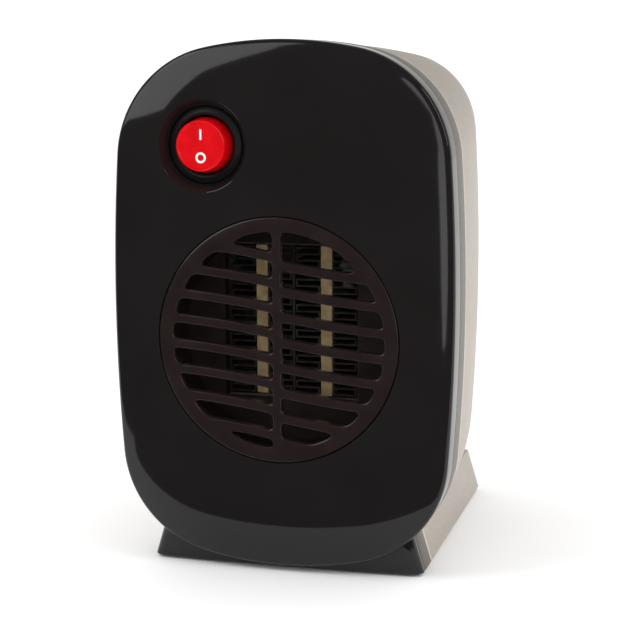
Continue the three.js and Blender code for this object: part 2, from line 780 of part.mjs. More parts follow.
// Insulating bars above and below the block. The lower one lets the plates' tabs through.
function makeHolder(lowZ, tabs) {
  const highZ = lowZ + holderHeight;
  const half = blockWidth / 2;
  const bar = block([-half, blockFrontY, lowZ], [half, blockBackY, highZ]);
  return cut(bar, ...tabs.map((x) => tabSlot(x, lowZ - 1, highZ + 1)));
}

// Round flange whose window shows the block, a rim behind it that holds the block and its holders,
// and four spacers for the screws that clamp the shroud behind it.
function makeHeaterFrame() {
  const halfWindow = blockWidth / 2 + gap;
  const lowPocket = blockLowZ - holderHeight - 2 * gap;
  const highPocket = blockHighZ + holderHeight + 2 * gap;
  const flange = rod(0, grilleZ, frameRadius, frameFrontY, frameBackY, 32);
  const rim = slab(roundedRectangle(
    -halfWindow - frameRim, lowPocket - frameRim, halfWindow + frameRim, highPocket + frameRim, frameRim,
  ), frameFrontY, blockBackY, 2);
  const spacers = framePlaces.map(([x, z]) => rod(x, z, spacerRadius, frameFrontY + 1, blockBackY, 12));
  const window = block([-halfWindow, frameFrontY - 1, blockLowZ - 1], [halfWindow, blockBackY, blockHighZ + 1]);
  const pocket = block([-halfWindow, frameBackY, lowPocket], [halfWindow, blockBackY + 1, highPocket]);
  const holes = framePlaces.map(([x, z]) => rod(x, z, screwRadius + gap, frameFrontY - 1, blockBackY + 1, 6));
  const tabSlots = tabPlaces.map((x) => tabSlot(x, lowPocket - frameRim - 1, lowPocket + 1));
  return cut(join(flange, rim, ...spacers), window, pocket, ...holes, ...tabSlots);
}

function makeFrontDuct() {
  const frontY = faceY + grilleDepth + skirtDepth + gap;
  return tube(0, grilleZ, ductInner + ductWall, ductInner, frontY, frameFrontY - gap, 36);
}

// ---------------------------------------------------------------- fan and motor
const motorBackY = coreFrontY + coreDepth;
const boreRadius = rotorRadius + rotorGap;
const coilLowZ = fanZ - coreSize / 2 - coreDrop + coreLeg + gap;
const coilHighZ = fanZ - boreRadius - 3 - gap;
const shroudPlateY = blockBackY + gap;
const shroudPlate = 2;
const shroudBackY = fanFrontY + bladeDepth + 3;
const motorPosts = [-motorPostX, motorPostX];
const motorPostBackY = coreFrontY - bracketThick - 2 * gap;

// Plate behind the heating block, with a barrel around the fan and two posts that carry the motor.
function makeFanShroud() {
  const plateBackY = shroudPlateY + shroudPlate;
  const insidePlate = shroudPlateY + shroudPlate / 2;
  const plate = rod(0, grilleZ, frameRadius, shroudPlateY, plateBackY, 32);
  const barrel = tube(0, fanZ, shroudInner + shroudWall, shroudInner, insidePlate, shroudBackY, 32);
  const posts = motorPosts.map((x) => rod(x, fanZ, motorPostRadius, insidePlate, motorPostBackY, 12));
  const throat = rod(0, fanZ, shroudInner - 3, shroudPlateY - 1, plateBackY + 1, 32);
  const pilots = motorPosts.map((x) => (
    rod(x, fanZ, pilotRadius, motorPostBackY - motorScrewLength - 1, motorPostBackY + 1, 8)
  ));
  const holes = framePlaces.map(([x, z]) => (
    rod(x, z, screwRadius + gap, shroudPlateY - 1, plateBackY + 1, 6)
  ));
  return cut(join(plate, barrel, ...posts), throat, ...pilots, ...holes);
}

// One blade: a plate twisted from the hub to the tip.
function makeBlade() {
  const rings = [];
  const reach = fanRadius - hubRadius + 1;
  const stations = 2;
  for (let station = 0; station <= stations; station++) {
    const share = station / stations;
    const pitch = (38 + 22 * share) * degree;
    const length = bladeDepth / Math.cos(pitch) * (1 - 0.35 * share) * 0.8;
    const half = new THREE.Vector2(Math.sin(pitch), Math.cos(pitch)).multiplyScalar(length / 2);
    const side = new THREE.Vector2(half.y, -half.x).normalize().multiplyScalar(bladeThick / 2);
    const corners = [
      half.clone().negate().sub(side), half.clone().sub(side),
      half.clone().add(side), half.clone().negate().add(side),
    ];
    const area = THREE.ShapeUtils.area(corners);
    rings.push({ height: hubRadius - 1 + reach * share, points: area > 0 ? corners : corners.reverse() });
  }
  return solid(loft(rings));
}

function makeFan() {
  const backY = fanFrontY + bladeDepth;
  const hub = turned([
    [0, fanFrontY - 0.5],
    [hubRadius - 2, fanFrontY],
    [hubRadius, fanFrontY + 1.5],
    [hubRadius, backY],
    [hubRadius - 1.5, backY],
    [hubRadius - 1.5, fanFrontY + 2.5],
    [3.6, fanFrontY + 2.5],
    [3.6, backY],
    [0, backY],
  ], 0, 0, 20);
  const blades = [];
  for (let index = 0; index < fanBlades; index++) {
    blades.push(makeBlade()
      .translate(0, fanFrontY + bladeDepth / 2, 0)
      .rotate(0, 360 * index / fanBlades, 0));
  }
  const sweep = tube(0, 0, fanRadius, hubRadius - 1, fanFrontY - 2, backY + 2, 32);
  const bore = rod(0, 0, shaftRadius + gap, fanFrontY + 3, backY + 1, 12);
  const trimmed = join(...blades).intersect(sweep);
  return cut(join(hub, trimmed), bore);
}

function makeShaft() {
  const front = rod(0, 0, shaftRadius, fanFrontY + 3 + gap, motorBackY + bracketThick + 4, 12);
  const rotor = rod(0, 0, rotorRadius, coreFrontY, motorBackY, 24);
  return join(front, rotor);
}

function boltHoles(frontY, backY) {
  return [-coreBoltX, coreBoltX].map((x) => rod(x, fanZ, screwRadius + gap, frontY, backY, 6));
}

// Laminated square frame: round bore for the rotor, and a leg that carries the winding.
function makeMotorCore() {
  const half = coreSize / 2;
  const outline = roundedRectangle(-half, fanZ - half - coreDrop, half, fanZ + half, 2);
  const body = slab(outline, coreFrontY, motorBackY, 1);
  const bore = rod(0, fanZ, boreRadius, coreFrontY - 1, motorBackY + 1, 24);
  const holes = boltHoles(coreFrontY - 1, motorBackY + 1);
  const windows = [-1, 1].map((side) => {
    const near = side * coilHalfWidth;
    const far = side * (half - coreLeg);
    const low = Math.min(near, far);
    const high = Math.max(near, far);
    return block([low, coreFrontY - 1, coilLowZ - gap], [high, motorBackY + 1, coilHighZ + gap]);
  });
  return cut(body, bore, ...windows, ...holes);
}

function makeMotorCoil() {
  const reach = coreSize / 2 - coreLeg - gap;
  const outline = roundedRectangle(-reach, coilLowZ, reach, coilHighZ, 0.8);
  const winding = slab(outline, coreFrontY - coilOverhang, motorBackY + coilOverhang, 2);
  const hollow = coilHalfWidth + gap;
  return cut(winding, block(
    [-hollow, coreFrontY - gap, coilLowZ - 1],
    [hollow, motorBackY + gap, coilHighZ + 1],
  ));
}

// Pressed bracket across the motor, with a bearing cup in the middle. The front one also reaches
// the shroud's posts. Outward is -1 for the front bracket and 1 for the rear one.
function makeMotorBracket(innerY, outward) {
  const cupReach = bracketThick + 2.5;
  const outerY = innerY + outward * bracketThick;
  const cupY = innerY + outward * cupReach;
  const low = Math.min(innerY, outerY);
  const high = Math.max(innerY, outerY);
  const reach = outward < 0 ? motorPostX + motorPostRadius + 1 : coreSize / 2;
  const strap = slab(roundedRectangle(-reach, fanZ - 5, reach, fanZ + 5, 3), low, high, 2);
  const cup = rod(0, fanZ, 5, Math.min(innerY, cupY), Math.max(innerY, cupY), 16);
  const bore = rod(0, fanZ, shaftRadius + gap, low - cupReach, high + cupReach, 10);
  const screws = outward < 0 ? motorPosts : [];
  const holes = screws.map((x) => rod(x, fanZ, screwRadius + gap, low - 1, high + 1, 6));
  return cut(join(strap, cup), bore, ...holes, ...boltHoles(low - 1, high + 1));
}

// ---------------------------------------------------------------- fasteners, gland and wires
// A pan-head screw with its head toward +y, the head's seat at y = 0 and a driver recess.
function makeScrew(length) {
  const recess = screwHeadRadius * 0.35;
  return cut(
    turned([
      [0, -length],
      [screwRadius, -length + 1.5],
      [screwRadius, 0],
      [screwHeadRadius, 0],
      [screwHeadRadius, screwHeadHeight * 0.6],
      [screwHeadRadius * 0.7, screwHeadHeight],
      [0, screwHeadHeight],
    ], 0, 0, 8),
    block([-recess, screwHeadHeight * 0.5, -recess], [recess, screwHeadHeight + 1, recess]),
  );
}

function makeGland() {
  const seatY = rearFaceY + gap;
  const innerY = rearFaceY - wall - 1.5 - gap;
  return turned([
    [glandBore, innerY - 2.5],
    [glandRadius + 1.4, innerY - 1.5],
    [glandRadius + 1.4, innerY],
    [glandRadius, innerY],
    [glandRadius, seatY],
    [glandFlange, seatY],
    [glandFlange - 0.4, seatY + 1.6],
    [glandBore + 1.2, seatY + 2.6],
    [glandBore, seatY + 2.6],
    [glandBore, innerY - 2.5],
  ], glandX, glandZ, 16);
}

// Bimetal cut-out that stands on top of the heater frame's rim: a round can, ears and two tabs.
const cutoutBaseZ = blockHighZ + holderHeight + 2 * gap + frameRim + gap;
const cutoutHeight = 4;
const cutoutTabX = 4.2;
const cutoutTabTop = cutoutBaseZ + cutoutHeight + 6;
const cutoutY = (frameBackY + blockBackY) / 2;

function makeThermalCutout() {
  const can = uprightRod(4.8, 0, cutoutHeight);
  const ears = block([-8, -2.5, 0], [8, 2.5, 0.8]);
  const tabs = [-cutoutTabX, cutoutTabX].map((x) => block([x - 0.4, -2, cutoutHeight - 1], [x + 0.4, 2, 10]));
  return join(can, ears, ...tabs);
}

// Each wire runs from one terminal to the next round the outside of the shroud.
const tabEndZ = blockLowZ - holderHeight - tabReach - wireGap;
const tabMiddleY = (tabFrontY + tabBackY) / 2;
const switchWireY = barrelBackY + gap + switchTabLength + wireGap;
const wireRoutes = {
  wire_supply: [
    [glandX + 2, 43, glandZ + 3], [34, 24, 44], [42, 6, 62], [43, -8, 92], [42, -11, 112],
    [37, -13, 126], [22, -15, 132], [4, -15, 129], [-17, -18, 128], [switchX, switchWireY, switchZ - 4],
  ],
  wire_return: [
    [glandX - 3, 43, glandZ], [19, 24, 22], [20, 0, 21], [tabPlaces[2], -20, 25],
    [tabPlaces[2], tabMiddleY, 33], [tabPlaces[2], tabMiddleY, tabEndZ],
  ],
  wire_switched: [
    [switchX, switchWireY, switchZ + 4], [-14, -21, 138], [0, -26, 135],
    [cutoutTabX, cutoutY, cutoutTabTop + 5], [cutoutTabX, cutoutY, cutoutTabTop + wireGap],
  ],
  wire_heater: [
    [-cutoutTabX, cutoutY, cutoutTabTop + wireGap], [-cutoutTabX, cutoutY, cutoutTabTop + 4],
    [-12, -22, 122], [-25, -17, 112], [-38, -14, 92], [-41, -14, 73], [-34, -14, 50], [-16, -19, 27],
    [0, -26, 27], [0, tabMiddleY, 34], [0, tabMiddleY, tabEndZ],
  ],
};

// ---------------------------------------------------------------- assembly
place('front_shell', makeFrontShell(), glossBlack);
place('rear_housing', makeRearHousing(), champagneSilver);
place('outlet_grille', makeOutletGrille(), darkBrown);

place('switch_bezel', makeSwitchBezel(), satinBlack);
place('switch_rocker', makeRocker(), signalRed, switchX, pivotY, switchZ);
for (const [side, name] of [[-1, 'switch_tab_low'], [1, 'switch_tab_high']]) {
  place(name, makeSwitchTab(), brassTab, switchX, barrelBackY + gap, switchZ + side * 4);
}

place('front_duct', makeFrontDuct(), brownPhenolic);
place('heater_frame', makeHeaterFrame(), brownPhenolic);
addHeatingBlock();
place('holder_high', makeHolder(blockHighZ + gap, []), whiteInsulator);
place('holder_low', makeHolder(blockLowZ - gap - holderHeight, tabPlaces), whiteInsulator);
place('thermal_cutout', makeThermalCutout(), brightSteel, 0, cutoutY, cutoutBaseZ);

place('fan_shroud', makeFanShroud(), brownPhenolic);
place('fan', makeFan(), fanPlastic, 0, 0, fanZ);
place('motor_shaft', makeShaft(), brightSteel, 0, 0, fanZ);
place('motor_core', makeMotorCore(), laminatedIron);
place('motor_coil', makeMotorCoil(), copperEnamel);
place('motor_bracket_front', makeMotorBracket(coreFrontY - gap, -1), brightSteel);
place('motor_bracket_rear', makeMotorBracket(motorBackY + gap, 1), brightSteel);

for (const [x, z, name] of postPlaces) {
  const seatY = postJointY + gap + postFloor + gap;
  place(`housing_screw_${name}`, makeScrew(housingScrewLength), brightSteel, x, seatY, z);
}
framePlaces.forEach(([x, z], index) => {
  const seatY = shroudPlateY + shroudPlate + gap;
  place(`frame_screw_${index + 1}`, makeScrew(frameScrewLength), brightSteel, x, seatY, z);
});
for (const [x, side] of [[-motorPostX, 'left'], [motorPostX, 'right']]) {
  place(`motor_screw_${side}`, makeScrew(motorScrewLength), brightSteel, x, coreFrontY, fanZ);
}
for (const [x, side] of [[-coreBoltX, 'left'], [coreBoltX, 'right']]) {
  const boltLength = coreDepth + 2 * bracketThick + 4 * gap;
  const seatY = motorBackY + bracketThick + 2 * gap;
  place(`core_bolt_${side}`, makeScrew(boltLength), brightSteel, x, seatY, fanZ);
}
for (const [x, y, name] of padPlaces) {
  place(`foot_pad_${name}`, uprightRod(padRadius, 0, footBottom + padSeat), blackRubber, x, y, 0);
}
place('cord_gland', makeGland(), blackRubber);
for (const [name, route] of Object.entries(wireRoutes)) {
  place(name, wire(route, wireRadius), name === 'wire_return' ? blueWire : brownWire);
}

export default heater;
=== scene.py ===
import bpy, bmesh, json, math
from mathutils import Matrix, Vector

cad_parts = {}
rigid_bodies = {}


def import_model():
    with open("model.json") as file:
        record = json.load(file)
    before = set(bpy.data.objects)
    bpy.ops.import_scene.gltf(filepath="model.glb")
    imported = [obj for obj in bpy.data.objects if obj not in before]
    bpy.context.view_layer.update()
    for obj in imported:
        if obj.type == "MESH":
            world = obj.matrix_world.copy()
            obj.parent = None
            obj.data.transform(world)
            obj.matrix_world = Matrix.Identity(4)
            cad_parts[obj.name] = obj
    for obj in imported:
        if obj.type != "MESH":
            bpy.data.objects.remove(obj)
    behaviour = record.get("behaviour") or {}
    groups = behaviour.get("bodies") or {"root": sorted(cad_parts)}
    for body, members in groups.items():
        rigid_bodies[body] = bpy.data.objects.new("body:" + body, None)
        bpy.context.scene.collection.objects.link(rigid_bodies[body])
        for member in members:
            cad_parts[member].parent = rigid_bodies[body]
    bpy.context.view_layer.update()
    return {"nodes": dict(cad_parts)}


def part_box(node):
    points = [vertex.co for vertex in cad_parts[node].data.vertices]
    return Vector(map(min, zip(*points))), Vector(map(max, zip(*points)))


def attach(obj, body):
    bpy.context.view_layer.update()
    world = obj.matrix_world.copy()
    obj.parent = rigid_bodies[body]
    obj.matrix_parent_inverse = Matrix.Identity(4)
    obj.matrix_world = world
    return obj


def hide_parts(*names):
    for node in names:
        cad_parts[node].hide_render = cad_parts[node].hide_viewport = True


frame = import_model()
print("frame loaded:", len(frame["nodes"]), "nodes")

mm = 0.001
gap = 0.3 * mm                                # clearance between pieces that touch
wall = 2.2 * mm                               # moulded wall of both shells
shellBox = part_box("front_shell")
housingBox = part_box("rear_housing")
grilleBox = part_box("outlet_grille")
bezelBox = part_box("switch_bezel")
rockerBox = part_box("switch_rocker")
seamY = housingBox[0].y - gap                 # parting line of the two shells
bandEndY = seamY + 11 * mm                    # rear edge of the straight band behind it
faceY = grilleBox[0].y                        # flat middle of the front face
grilleZ = (grilleBox[0].z + grilleBox[1].z) / 2
switchX = (bezelBox[0].x + bezelBox[1].x) / 2
switchZ = (bezelBox[0].z + bezelBox[1].z) / 2
bezelRadius = bezelBox[1].x - switchX
barrelRadius = 9.8 * mm                       # switch body behind its bezel


# ways of working that every piece shares

def deselectAll():
    if bpy.context.object and bpy.context.object.mode != "OBJECT":
        bpy.ops.object.mode_set(mode="OBJECT")
    for other in bpy.data.objects:
        other.select_set(False)


def makeActive(piece):
    deselectAll()
    piece.select_set(True)
    bpy.context.view_layer.objects.active = piece


def startPiece(name):                         # names what was just added and puts its place in its mesh
    piece = bpy.context.object
    piece.name = name
    piece.data.name = name
    bpy.ops.object.transform_apply(location=True, rotation=True, scale=True)
    return piece


def editPiece(piece):
    makeActive(piece)
    bpy.ops.object.mode_set(mode="EDIT")


def doneEditing():
    bpy.ops.object.mode_set(mode="OBJECT")


def pick(kind, test):                         # selects just the vertices, edges or faces that pass the test
    bpy.ops.mesh.select_mode(type=kind)
    bpy.ops.mesh.select_all(action="DESELECT")
    mesh = bmesh.from_edit_mesh(bpy.context.object.data)
    parts = {"VERT": mesh.verts, "EDGE": mesh.edges, "FACE": mesh.faces}[kind]
    chosen = [part for part in parts if test(part)]
    for part in chosen:
        part.select_set(True)
    bmesh.update_edit_mesh(bpy.context.object.data)
    return len(chosen)


def near(a, b, reach=0.02 * mm):
    return abs(a - b) < reach


def extrudeBy(x, y, z):
    bpy.ops.mesh.extrude_region_move(TRANSFORM_OT_translate={"value": (x, y, z)})


def moveBy(x, y, z):
    bpy.ops.transform.translate(value=(x, y, z))


def weldAndTurnOut():
    bpy.ops.mesh.select_all(action="SELECT")
    bpy.ops.mesh.remove_doubles(threshold=0.002 * mm)
    bpy.ops.mesh.normals_make_consistent(inside=False)


def applyModifier(piece, kind, **settings):
    makeActive(piece)
    change = piece.modifiers.new(kind.lower(), kind)
    for setting, value in settings.items():
        setattr(change, setting, value)
    bpy.ops.object.modifier_apply(modifier=change.name)


def combine(piece, tool, how, crossing=False):    # how is DIFFERENCE, UNION or INTERSECT
    applyModifier(piece, "BOOLEAN", object=tool, operation=how, solver="EXACT", use_self=crossing)
    bpy.data.objects.remove(tool)


def joinAll(pieces):
    deselectAll()
    for piece in pieces:
        piece.select_set(True)
    bpy.context.view_layer.objects.active = pieces[0]
    bpy.ops.object.join()
    return pieces[0]


def startPoint(name, x, y, z):                # a piece of one vertex, still in edit mode
    deselectAll()
    bpy.ops.mesh.primitive_circle_add(vertices=3, radius=mm, location=(x, y, z))
    piece = startPiece(name)
    bpy.ops.object.mode_set(mode="EDIT")
    bpy.ops.mesh.select_mode(type="VERT")
    bpy.ops.mesh.select_all(action="SELECT")
    bpy.ops.mesh.merge(type="CENTER")
    return piece


def turnProfile(name, profile, x, z, steps=96):   # pairs of radius and y, spun about a line along y
    piece = startPoint(name, x + profile[0][0], profile[0][1], z)
    for (radius, y), (nextRadius, nextY) in zip(profile, profile[1:]):
        extrudeBy(nextRadius - radius, nextY - y, 0)
    bpy.ops.mesh.select_all(action="SELECT")
    bpy.ops.mesh.spin(steps=steps, angle=2 * math.pi, center=(x, 0, z), axis=(0, 1, 0))
    weldAndTurnOut()
    doneEditing()
    return piece


def barAlongY(name, x, z, radius, frontY, backY, sides=64):
    deselectAll()
    bpy.ops.mesh.primitive_cylinder_add(
        vertices=sides, radius=radius, depth=backY - frontY,
        location=(x, (frontY + backY) / 2, z), rotation=(math.pi / 2, 0, 0))
    return startPiece(name)


def softenEdges(piece, width, segments=3, angle=35):
    applyModifier(piece, "BEVEL", width=width, segments=segments, limit_method="ANGLE",
                  angle_limit=math.radians(angle), use_clamp_overlap=True)


def smoothShade(piece, angle=35):
    makeActive(piece)
    bpy.ops.object.shade_smooth_by_angle(angle=math.radians(angle))


def finishPiece(piece, body, slot, material, *nodes):
    piece.data.materials.clear()
    piece.data.materials.append(material)
    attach(piece, body)
    if nodes:
        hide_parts(*nodes)
    print("made", piece.name, len(piece.data.polygons), "faces")


# finishes

def newFinish(name):
    material = bpy.data.materials.new(name)
    material.use_nodes = True
    nodes = material.node_tree.nodes
    shader = nodes["Principled BSDF"]
    coords = nodes.new("ShaderNodeTexCoord")
    return material, material.node_tree, shader, coords.outputs["Object"]


def addNoise(tree, coords, scale, detail=2, roughness=0.5):
    noise = tree.nodes.new("ShaderNodeTexNoise")
    noise.inputs["Scale"].default_value = scale
    noise.inputs["Detail"].default_value = detail
    noise.inputs["Roughness"].default_value = roughness
    tree.links.new(coords, noise.inputs["Vector"])
    return noise.outputs["Fac"]


def addRange(tree, value, low, high, fromLow=0.3, fromHigh=0.7):
    span = tree.nodes.new("ShaderNodeMapRange")
    span.inputs["From Min"].default_value = fromLow
    span.inputs["From Max"].default_value = fromHigh
    span.inputs["To Min"].default_value = low
    span.inputs["To Max"].default_value = high
    tree.links.new(value, span.inputs["Value"])
    return span.outputs["Result"]


def addColours(tree, value, dark, light, darkAt=0.3, lightAt=0.7):
    ramp = tree.nodes.new("ShaderNodeValToRGB")
    ramp.color_ramp.elements[0].position = darkAt
    ramp.color_ramp.elements[0].color = (*dark, 1)
    ramp.color_ramp.elements[1].position = lightAt
    ramp.color_ramp.elements[1].color = (*light, 1)
    tree.links.new(value, ramp.inputs["Fac"])
    return ramp.outputs["Color"]


def addMath(tree, operation, *terms):         # a term is another node's output or a plain number
    node = tree.nodes.new("ShaderNodeMath")
    node.operation = operation
    for socket, term in zip(node.inputs, terms):
        if isinstance(term, (int, float)):
            socket.default_value = term
        else:
            tree.links.new(term, socket)
    return node.outputs["Value"]


def mixShaders(tree, factor, usual, other, output):
    mix = tree.nodes.new("ShaderNodeMixShader")
    tree.links.new(factor, mix.inputs["Fac"])
    tree.links.new(usual, mix.inputs[1])
    tree.links.new(other, mix.inputs[2])
    tree.links.new(mix.outputs["Shader"], tree.nodes[output].inputs["Surface"])


def addBump(tree, shader, height, strength, distance):
    bump = tree.nodes.new("ShaderNodeBump")
    bump.inputs["Strength"].default_value = strength
    bump.inputs["Distance"].default_value = distance
    tree.links.new(height, bump.inputs["Height"])
    tree.links.new(bump.outputs["Normal"], shader.inputs["Normal"])


def mouldedFinish(name, look):                # plastic, rubber and ceramic: a mottled colour and a fine grain
    material, tree, shader, coords = newFinish(name)
    mottle = addNoise(tree, coords, look["mottleScale"], 3)
    tree.links.new(addColours(tree, mottle, look["dark"], look["light"]), shader.inputs["Base Color"])
    grain = addNoise(tree, coords, look["grainScale"], 2, 0.6)
    tree.links.new(addRange(tree, grain, *look["roughness"]), shader.inputs["Roughness"])
    addBump(tree, shader, grain, look["bump"], look["bumpDepth"])
    shader.inputs["Specular IOR Level"].default_value = look.get("specular", 0.5)
    return material


glossBlack = mouldedFinish("glossBlack", {
    "dark": (0.0094, 0.0083, 0.0081), "light": (0.0112, 0.0100, 0.0098), "mottleScale": 40,
    "grainScale": 900, "roughness": (0.05, 0.09), "bump": 0.015, "bumpDepth": 0.02 * mm, "specular": 0.3,
})
satinBlack = mouldedFinish("satinBlack", {
    "dark": (0.005, 0.005, 0.0055), "light": (0.009, 0.009, 0.010), "mottleScale": 90,
    "grainScale": 2600, "roughness": (0.34, 0.46), "bump": 0.12, "bumpDepth": 0.05 * mm,
})
darkBrown = mouldedFinish("darkBrown", {
    "dark": (0.0126, 0.0074, 0.0072), "light": (0.0172, 0.0106, 0.0100), "mottleScale": 110,
    "grainScale": 3200, "roughness": (0.16, 0.25), "bump": 0.08, "bumpDepth": 0.05 * mm,
})
brownPhenolic = mouldedFinish("brownPhenolic", {
    "dark": (0.016, 0.0065, 0.0048), "light": (0.030, 0.013, 0.009), "mottleScale": 160,
    "grainScale": 1800, "roughness": (0.5, 0.7), "bump": 0.2, "bumpDepth": 0.08 * mm,
})
ceramicTan = mouldedFinish("ceramicTan", {
    "dark": (0.27, 0.185, 0.085), "light": (0.44, 0.32, 0.165), "mottleScale": 420,
    "grainScale": 2200, "roughness": (0.7, 0.9), "bump": 0.35, "bumpDepth": 0.1 * mm,
})
holderMica = mouldedFinish("holderMica", {
    "dark": (0.055, 0.040, 0.030), "light": (0.095, 0.072, 0.055), "mottleScale": 240,
    "grainScale": 2000, "roughness": (0.6, 0.8), "bump": 0.2, "bumpDepth": 0.08 * mm,
})
blackRubber = mouldedFinish("blackRubber", {
    "dark": (0.008, 0.008, 0.008), "light": (0.016, 0.016, 0.016), "mottleScale": 200,
    "grainScale": 2400, "roughness": (0.7, 0.88), "bump": 0.3, "bumpDepth": 0.08 * mm,
})
fanPlastic = mouldedFinish("fanPlastic", {
    "dark": (0.016, 0.017, 0.019), "light": (0.028, 0.029, 0.031), "mottleScale": 120,
    "grainScale": 2200, "roughness": (0.42, 0.56), "bump": 0.15, "bumpDepth": 0.06 * mm,
})
brownWire = mouldedFinish("brownWire", {
    "dark": (0.075, 0.026, 0.012), "light": (0.12, 0.045, 0.02), "mottleScale": 260,
    "grainScale": 1500, "roughness": (0.4, 0.55), "bump": 0.12, "bumpDepth": 0.05 * mm,
})
blueWire = mouldedFinish("blueWire", {
    "dark": (0.012, 0.042, 0.15), "light": (0.02, 0.07, 0.23), "mottleScale": 260,
    "grainScale": 1500, "roughness": (0.4, 0.55), "bump": 0.12, "bumpDepth": 0.05 * mm,
})
copperEnamel = mouldedFinish("copperEnamel", {
    "dark": (0.22, 0.055, 0.012), "light": (0.42, 0.13, 0.035), "mottleScale": 300,
    "grainScale": 1400, "roughness": (0.28, 0.42), "bump": 0.3, "bumpDepth": 0.12 * mm,
})
markWhite = mouldedFinish("markWhite", {
    "dark": (0.80, 0.78, 0.76), "light": (0.90, 0.88, 0.86), "mottleScale": 900,
    "grainScale": 2600, "roughness": (0.38, 0.5), "bump": 0.1, "bumpDepth": 0.03 * mm,
})


def metalFinish(name, look):                  # bare metal: fine lines along one direction
    material, tree, shader, coords = newFinish(name)
    stretch = tree.nodes.new("ShaderNodeMapping")
    stretch.inputs["Scale"].default_value = look["stretch"]
    tree.links.new(coords, stretch.inputs["Vector"])
    lines = addNoise(tree, stretch.outputs["Vector"], look["lineScale"], 3, 0.6)
    tint = addNoise(tree, coords, look["tintScale"], 3)
    tree.links.new(addColours(tree, tint, look["dark"], look["light"]), shader.inputs["Base Color"])
    tree.links.new(addRange(tree, lines, *look["roughness"]), shader.inputs["Roughness"])
    addBump(tree, shader, lines, look["bump"], look["bumpDepth"])
    shader.inputs["Metallic"].default_value = 1
    return material


bareAluminium = metalFinish("bareAluminium", {
    "dark": (0.20, 0.19, 0.18), "light": (0.36, 0.345, 0.33), "tintScale": 260, "stretch": (1, 1, 6),
    "lineScale": 700, "roughness": (0.30, 0.48), "bump": 0.25, "bumpDepth": 0.05 * mm,
})
brightSteel = metalFinish("brightSteel", {
    "dark": (0.34, 0.34, 0.35), "light": (0.52, 0.52, 0.52), "tintScale": 200, "stretch": (1, 8, 1),
    "lineScale": 600, "roughness": (0.26, 0.44), "bump": 0.2, "bumpDepth": 0.04 * mm,
})
laminatedIron = metalFinish("laminatedIron", {
    "dark": (0.05, 0.05, 0.055), "light": (0.11, 0.105, 0.10), "tintScale": 220, "stretch": (0.05, 30, 0.05),
    "lineScale": 60, "roughness": (0.4, 0.65), "bump": 0.7, "bumpDepth": 0.2 * mm,
})
brassTab = metalFinish("brassTab", {
    "dark": (0.42, 0.26, 0.07), "light": (0.60, 0.40, 0.14), "tintScale": 300, "stretch": (1, 8, 1),
    "lineScale": 500, "roughness": (0.24, 0.4), "bump": 0.15, "bumpDepth": 0.03 * mm,
})


def makeSilverPaint():                        # metallic paint: fine flakes over a soft cloud of tone
    # the brightest tone and its width below make a painted highlight along the band's rear edge
    look = {"dark": (0.41, 0.360, 0.315), "light": (0.55, 0.498, 0.448), "flakeScale": 3000,
            "cloudScale": 22, "roughness": (0.40, 0.54), "bump": 0.16, "bumpDepth": 0.05 * mm,
            "bandTone": 0.30, "paintedHighlightTone": 1.5, "paintedHighlightWidth": 1.3 * mm, "metallic": 0.75}
    material, tree, shader, coords = newFinish("silverPaint")
    flakes = tree.nodes.new("ShaderNodeTexVoronoi")
    flakes.inputs["Scale"].default_value = look["flakeScale"]
    tree.links.new(coords, flakes.inputs["Vector"])
    sparkle = tree.nodes.new("ShaderNodeSeparateColor")
    tree.links.new(flakes.outputs["Color"], sparkle.inputs["Color"])
    cloud = addRange(tree, addNoise(tree, coords, look["cloudScale"], 3), 0.42, 0.58)
    blend = addMath(tree, "MULTIPLY_ADD", sparkle.outputs["Red"], 0.5, cloud)
    colours = addColours(tree, blend, look["dark"], look["light"], 0.4, 1.1)
    place = tree.nodes.new("ShaderNodeSeparateXYZ")            # the straight band is coloured darker, up to a painted highlight: a pale line along its rear edge
    tree.links.new(coords, place.inputs["Vector"])             # up to the pale line along its rear edge
    tones = tree.nodes.new("ShaderNodeValToRGB")
    lastY = bandEndY + 2 * mm
    along = addRange(tree, place.outputs["Y"], 0, 1, seamY, lastY)
    # the last stops ramp up to a painted highlight, where the step's edge would catch the light
    stops = [
        (seamY, look["bandTone"]), (bandEndY - look["paintedHighlightWidth"], look["bandTone"] * 1.5),
        (bandEndY - look["paintedHighlightWidth"] * 0.8, look["paintedHighlightTone"]), (bandEndY, look["paintedHighlightTone"]),
        (bandEndY + 0.3 * mm, 1),
    ]
    while len(tones.color_ramp.elements) < len(stops):
        tones.color_ramp.elements.new(0.5)
    for element, (y, tone) in zip(tones.color_ramp.elements, stops):
        element.position = (y - seamY) / (lastY - seamY)
        element.color = (tone, tone, tone, 1)
    tree.links.new(along, tones.inputs["Fac"])
    toned = tree.nodes.new("ShaderNodeMix")
    toned.data_type = "RGBA"
    toned.blend_type = "MULTIPLY"
    toned.inputs["Factor"].default_value = 1
    tree.links.new(colours, toned.inputs["A"])
    tree.links.new(tones.outputs["Color"], toned.inputs["B"])
    tree.links.new(toned.outputs["Result"], shader.inputs["Base Color"])
    roughness = addRange(tree, sparkle.outputs["Green"], *look["roughness"], 0, 1)
    tree.links.new(roughness, shader.inputs["Roughness"])
    addBump(tree, shader, sparkle.outputs["Blue"], look["bump"], look["bumpDepth"])
    shader.inputs["Metallic"].default_value = look["metallic"]
    return material


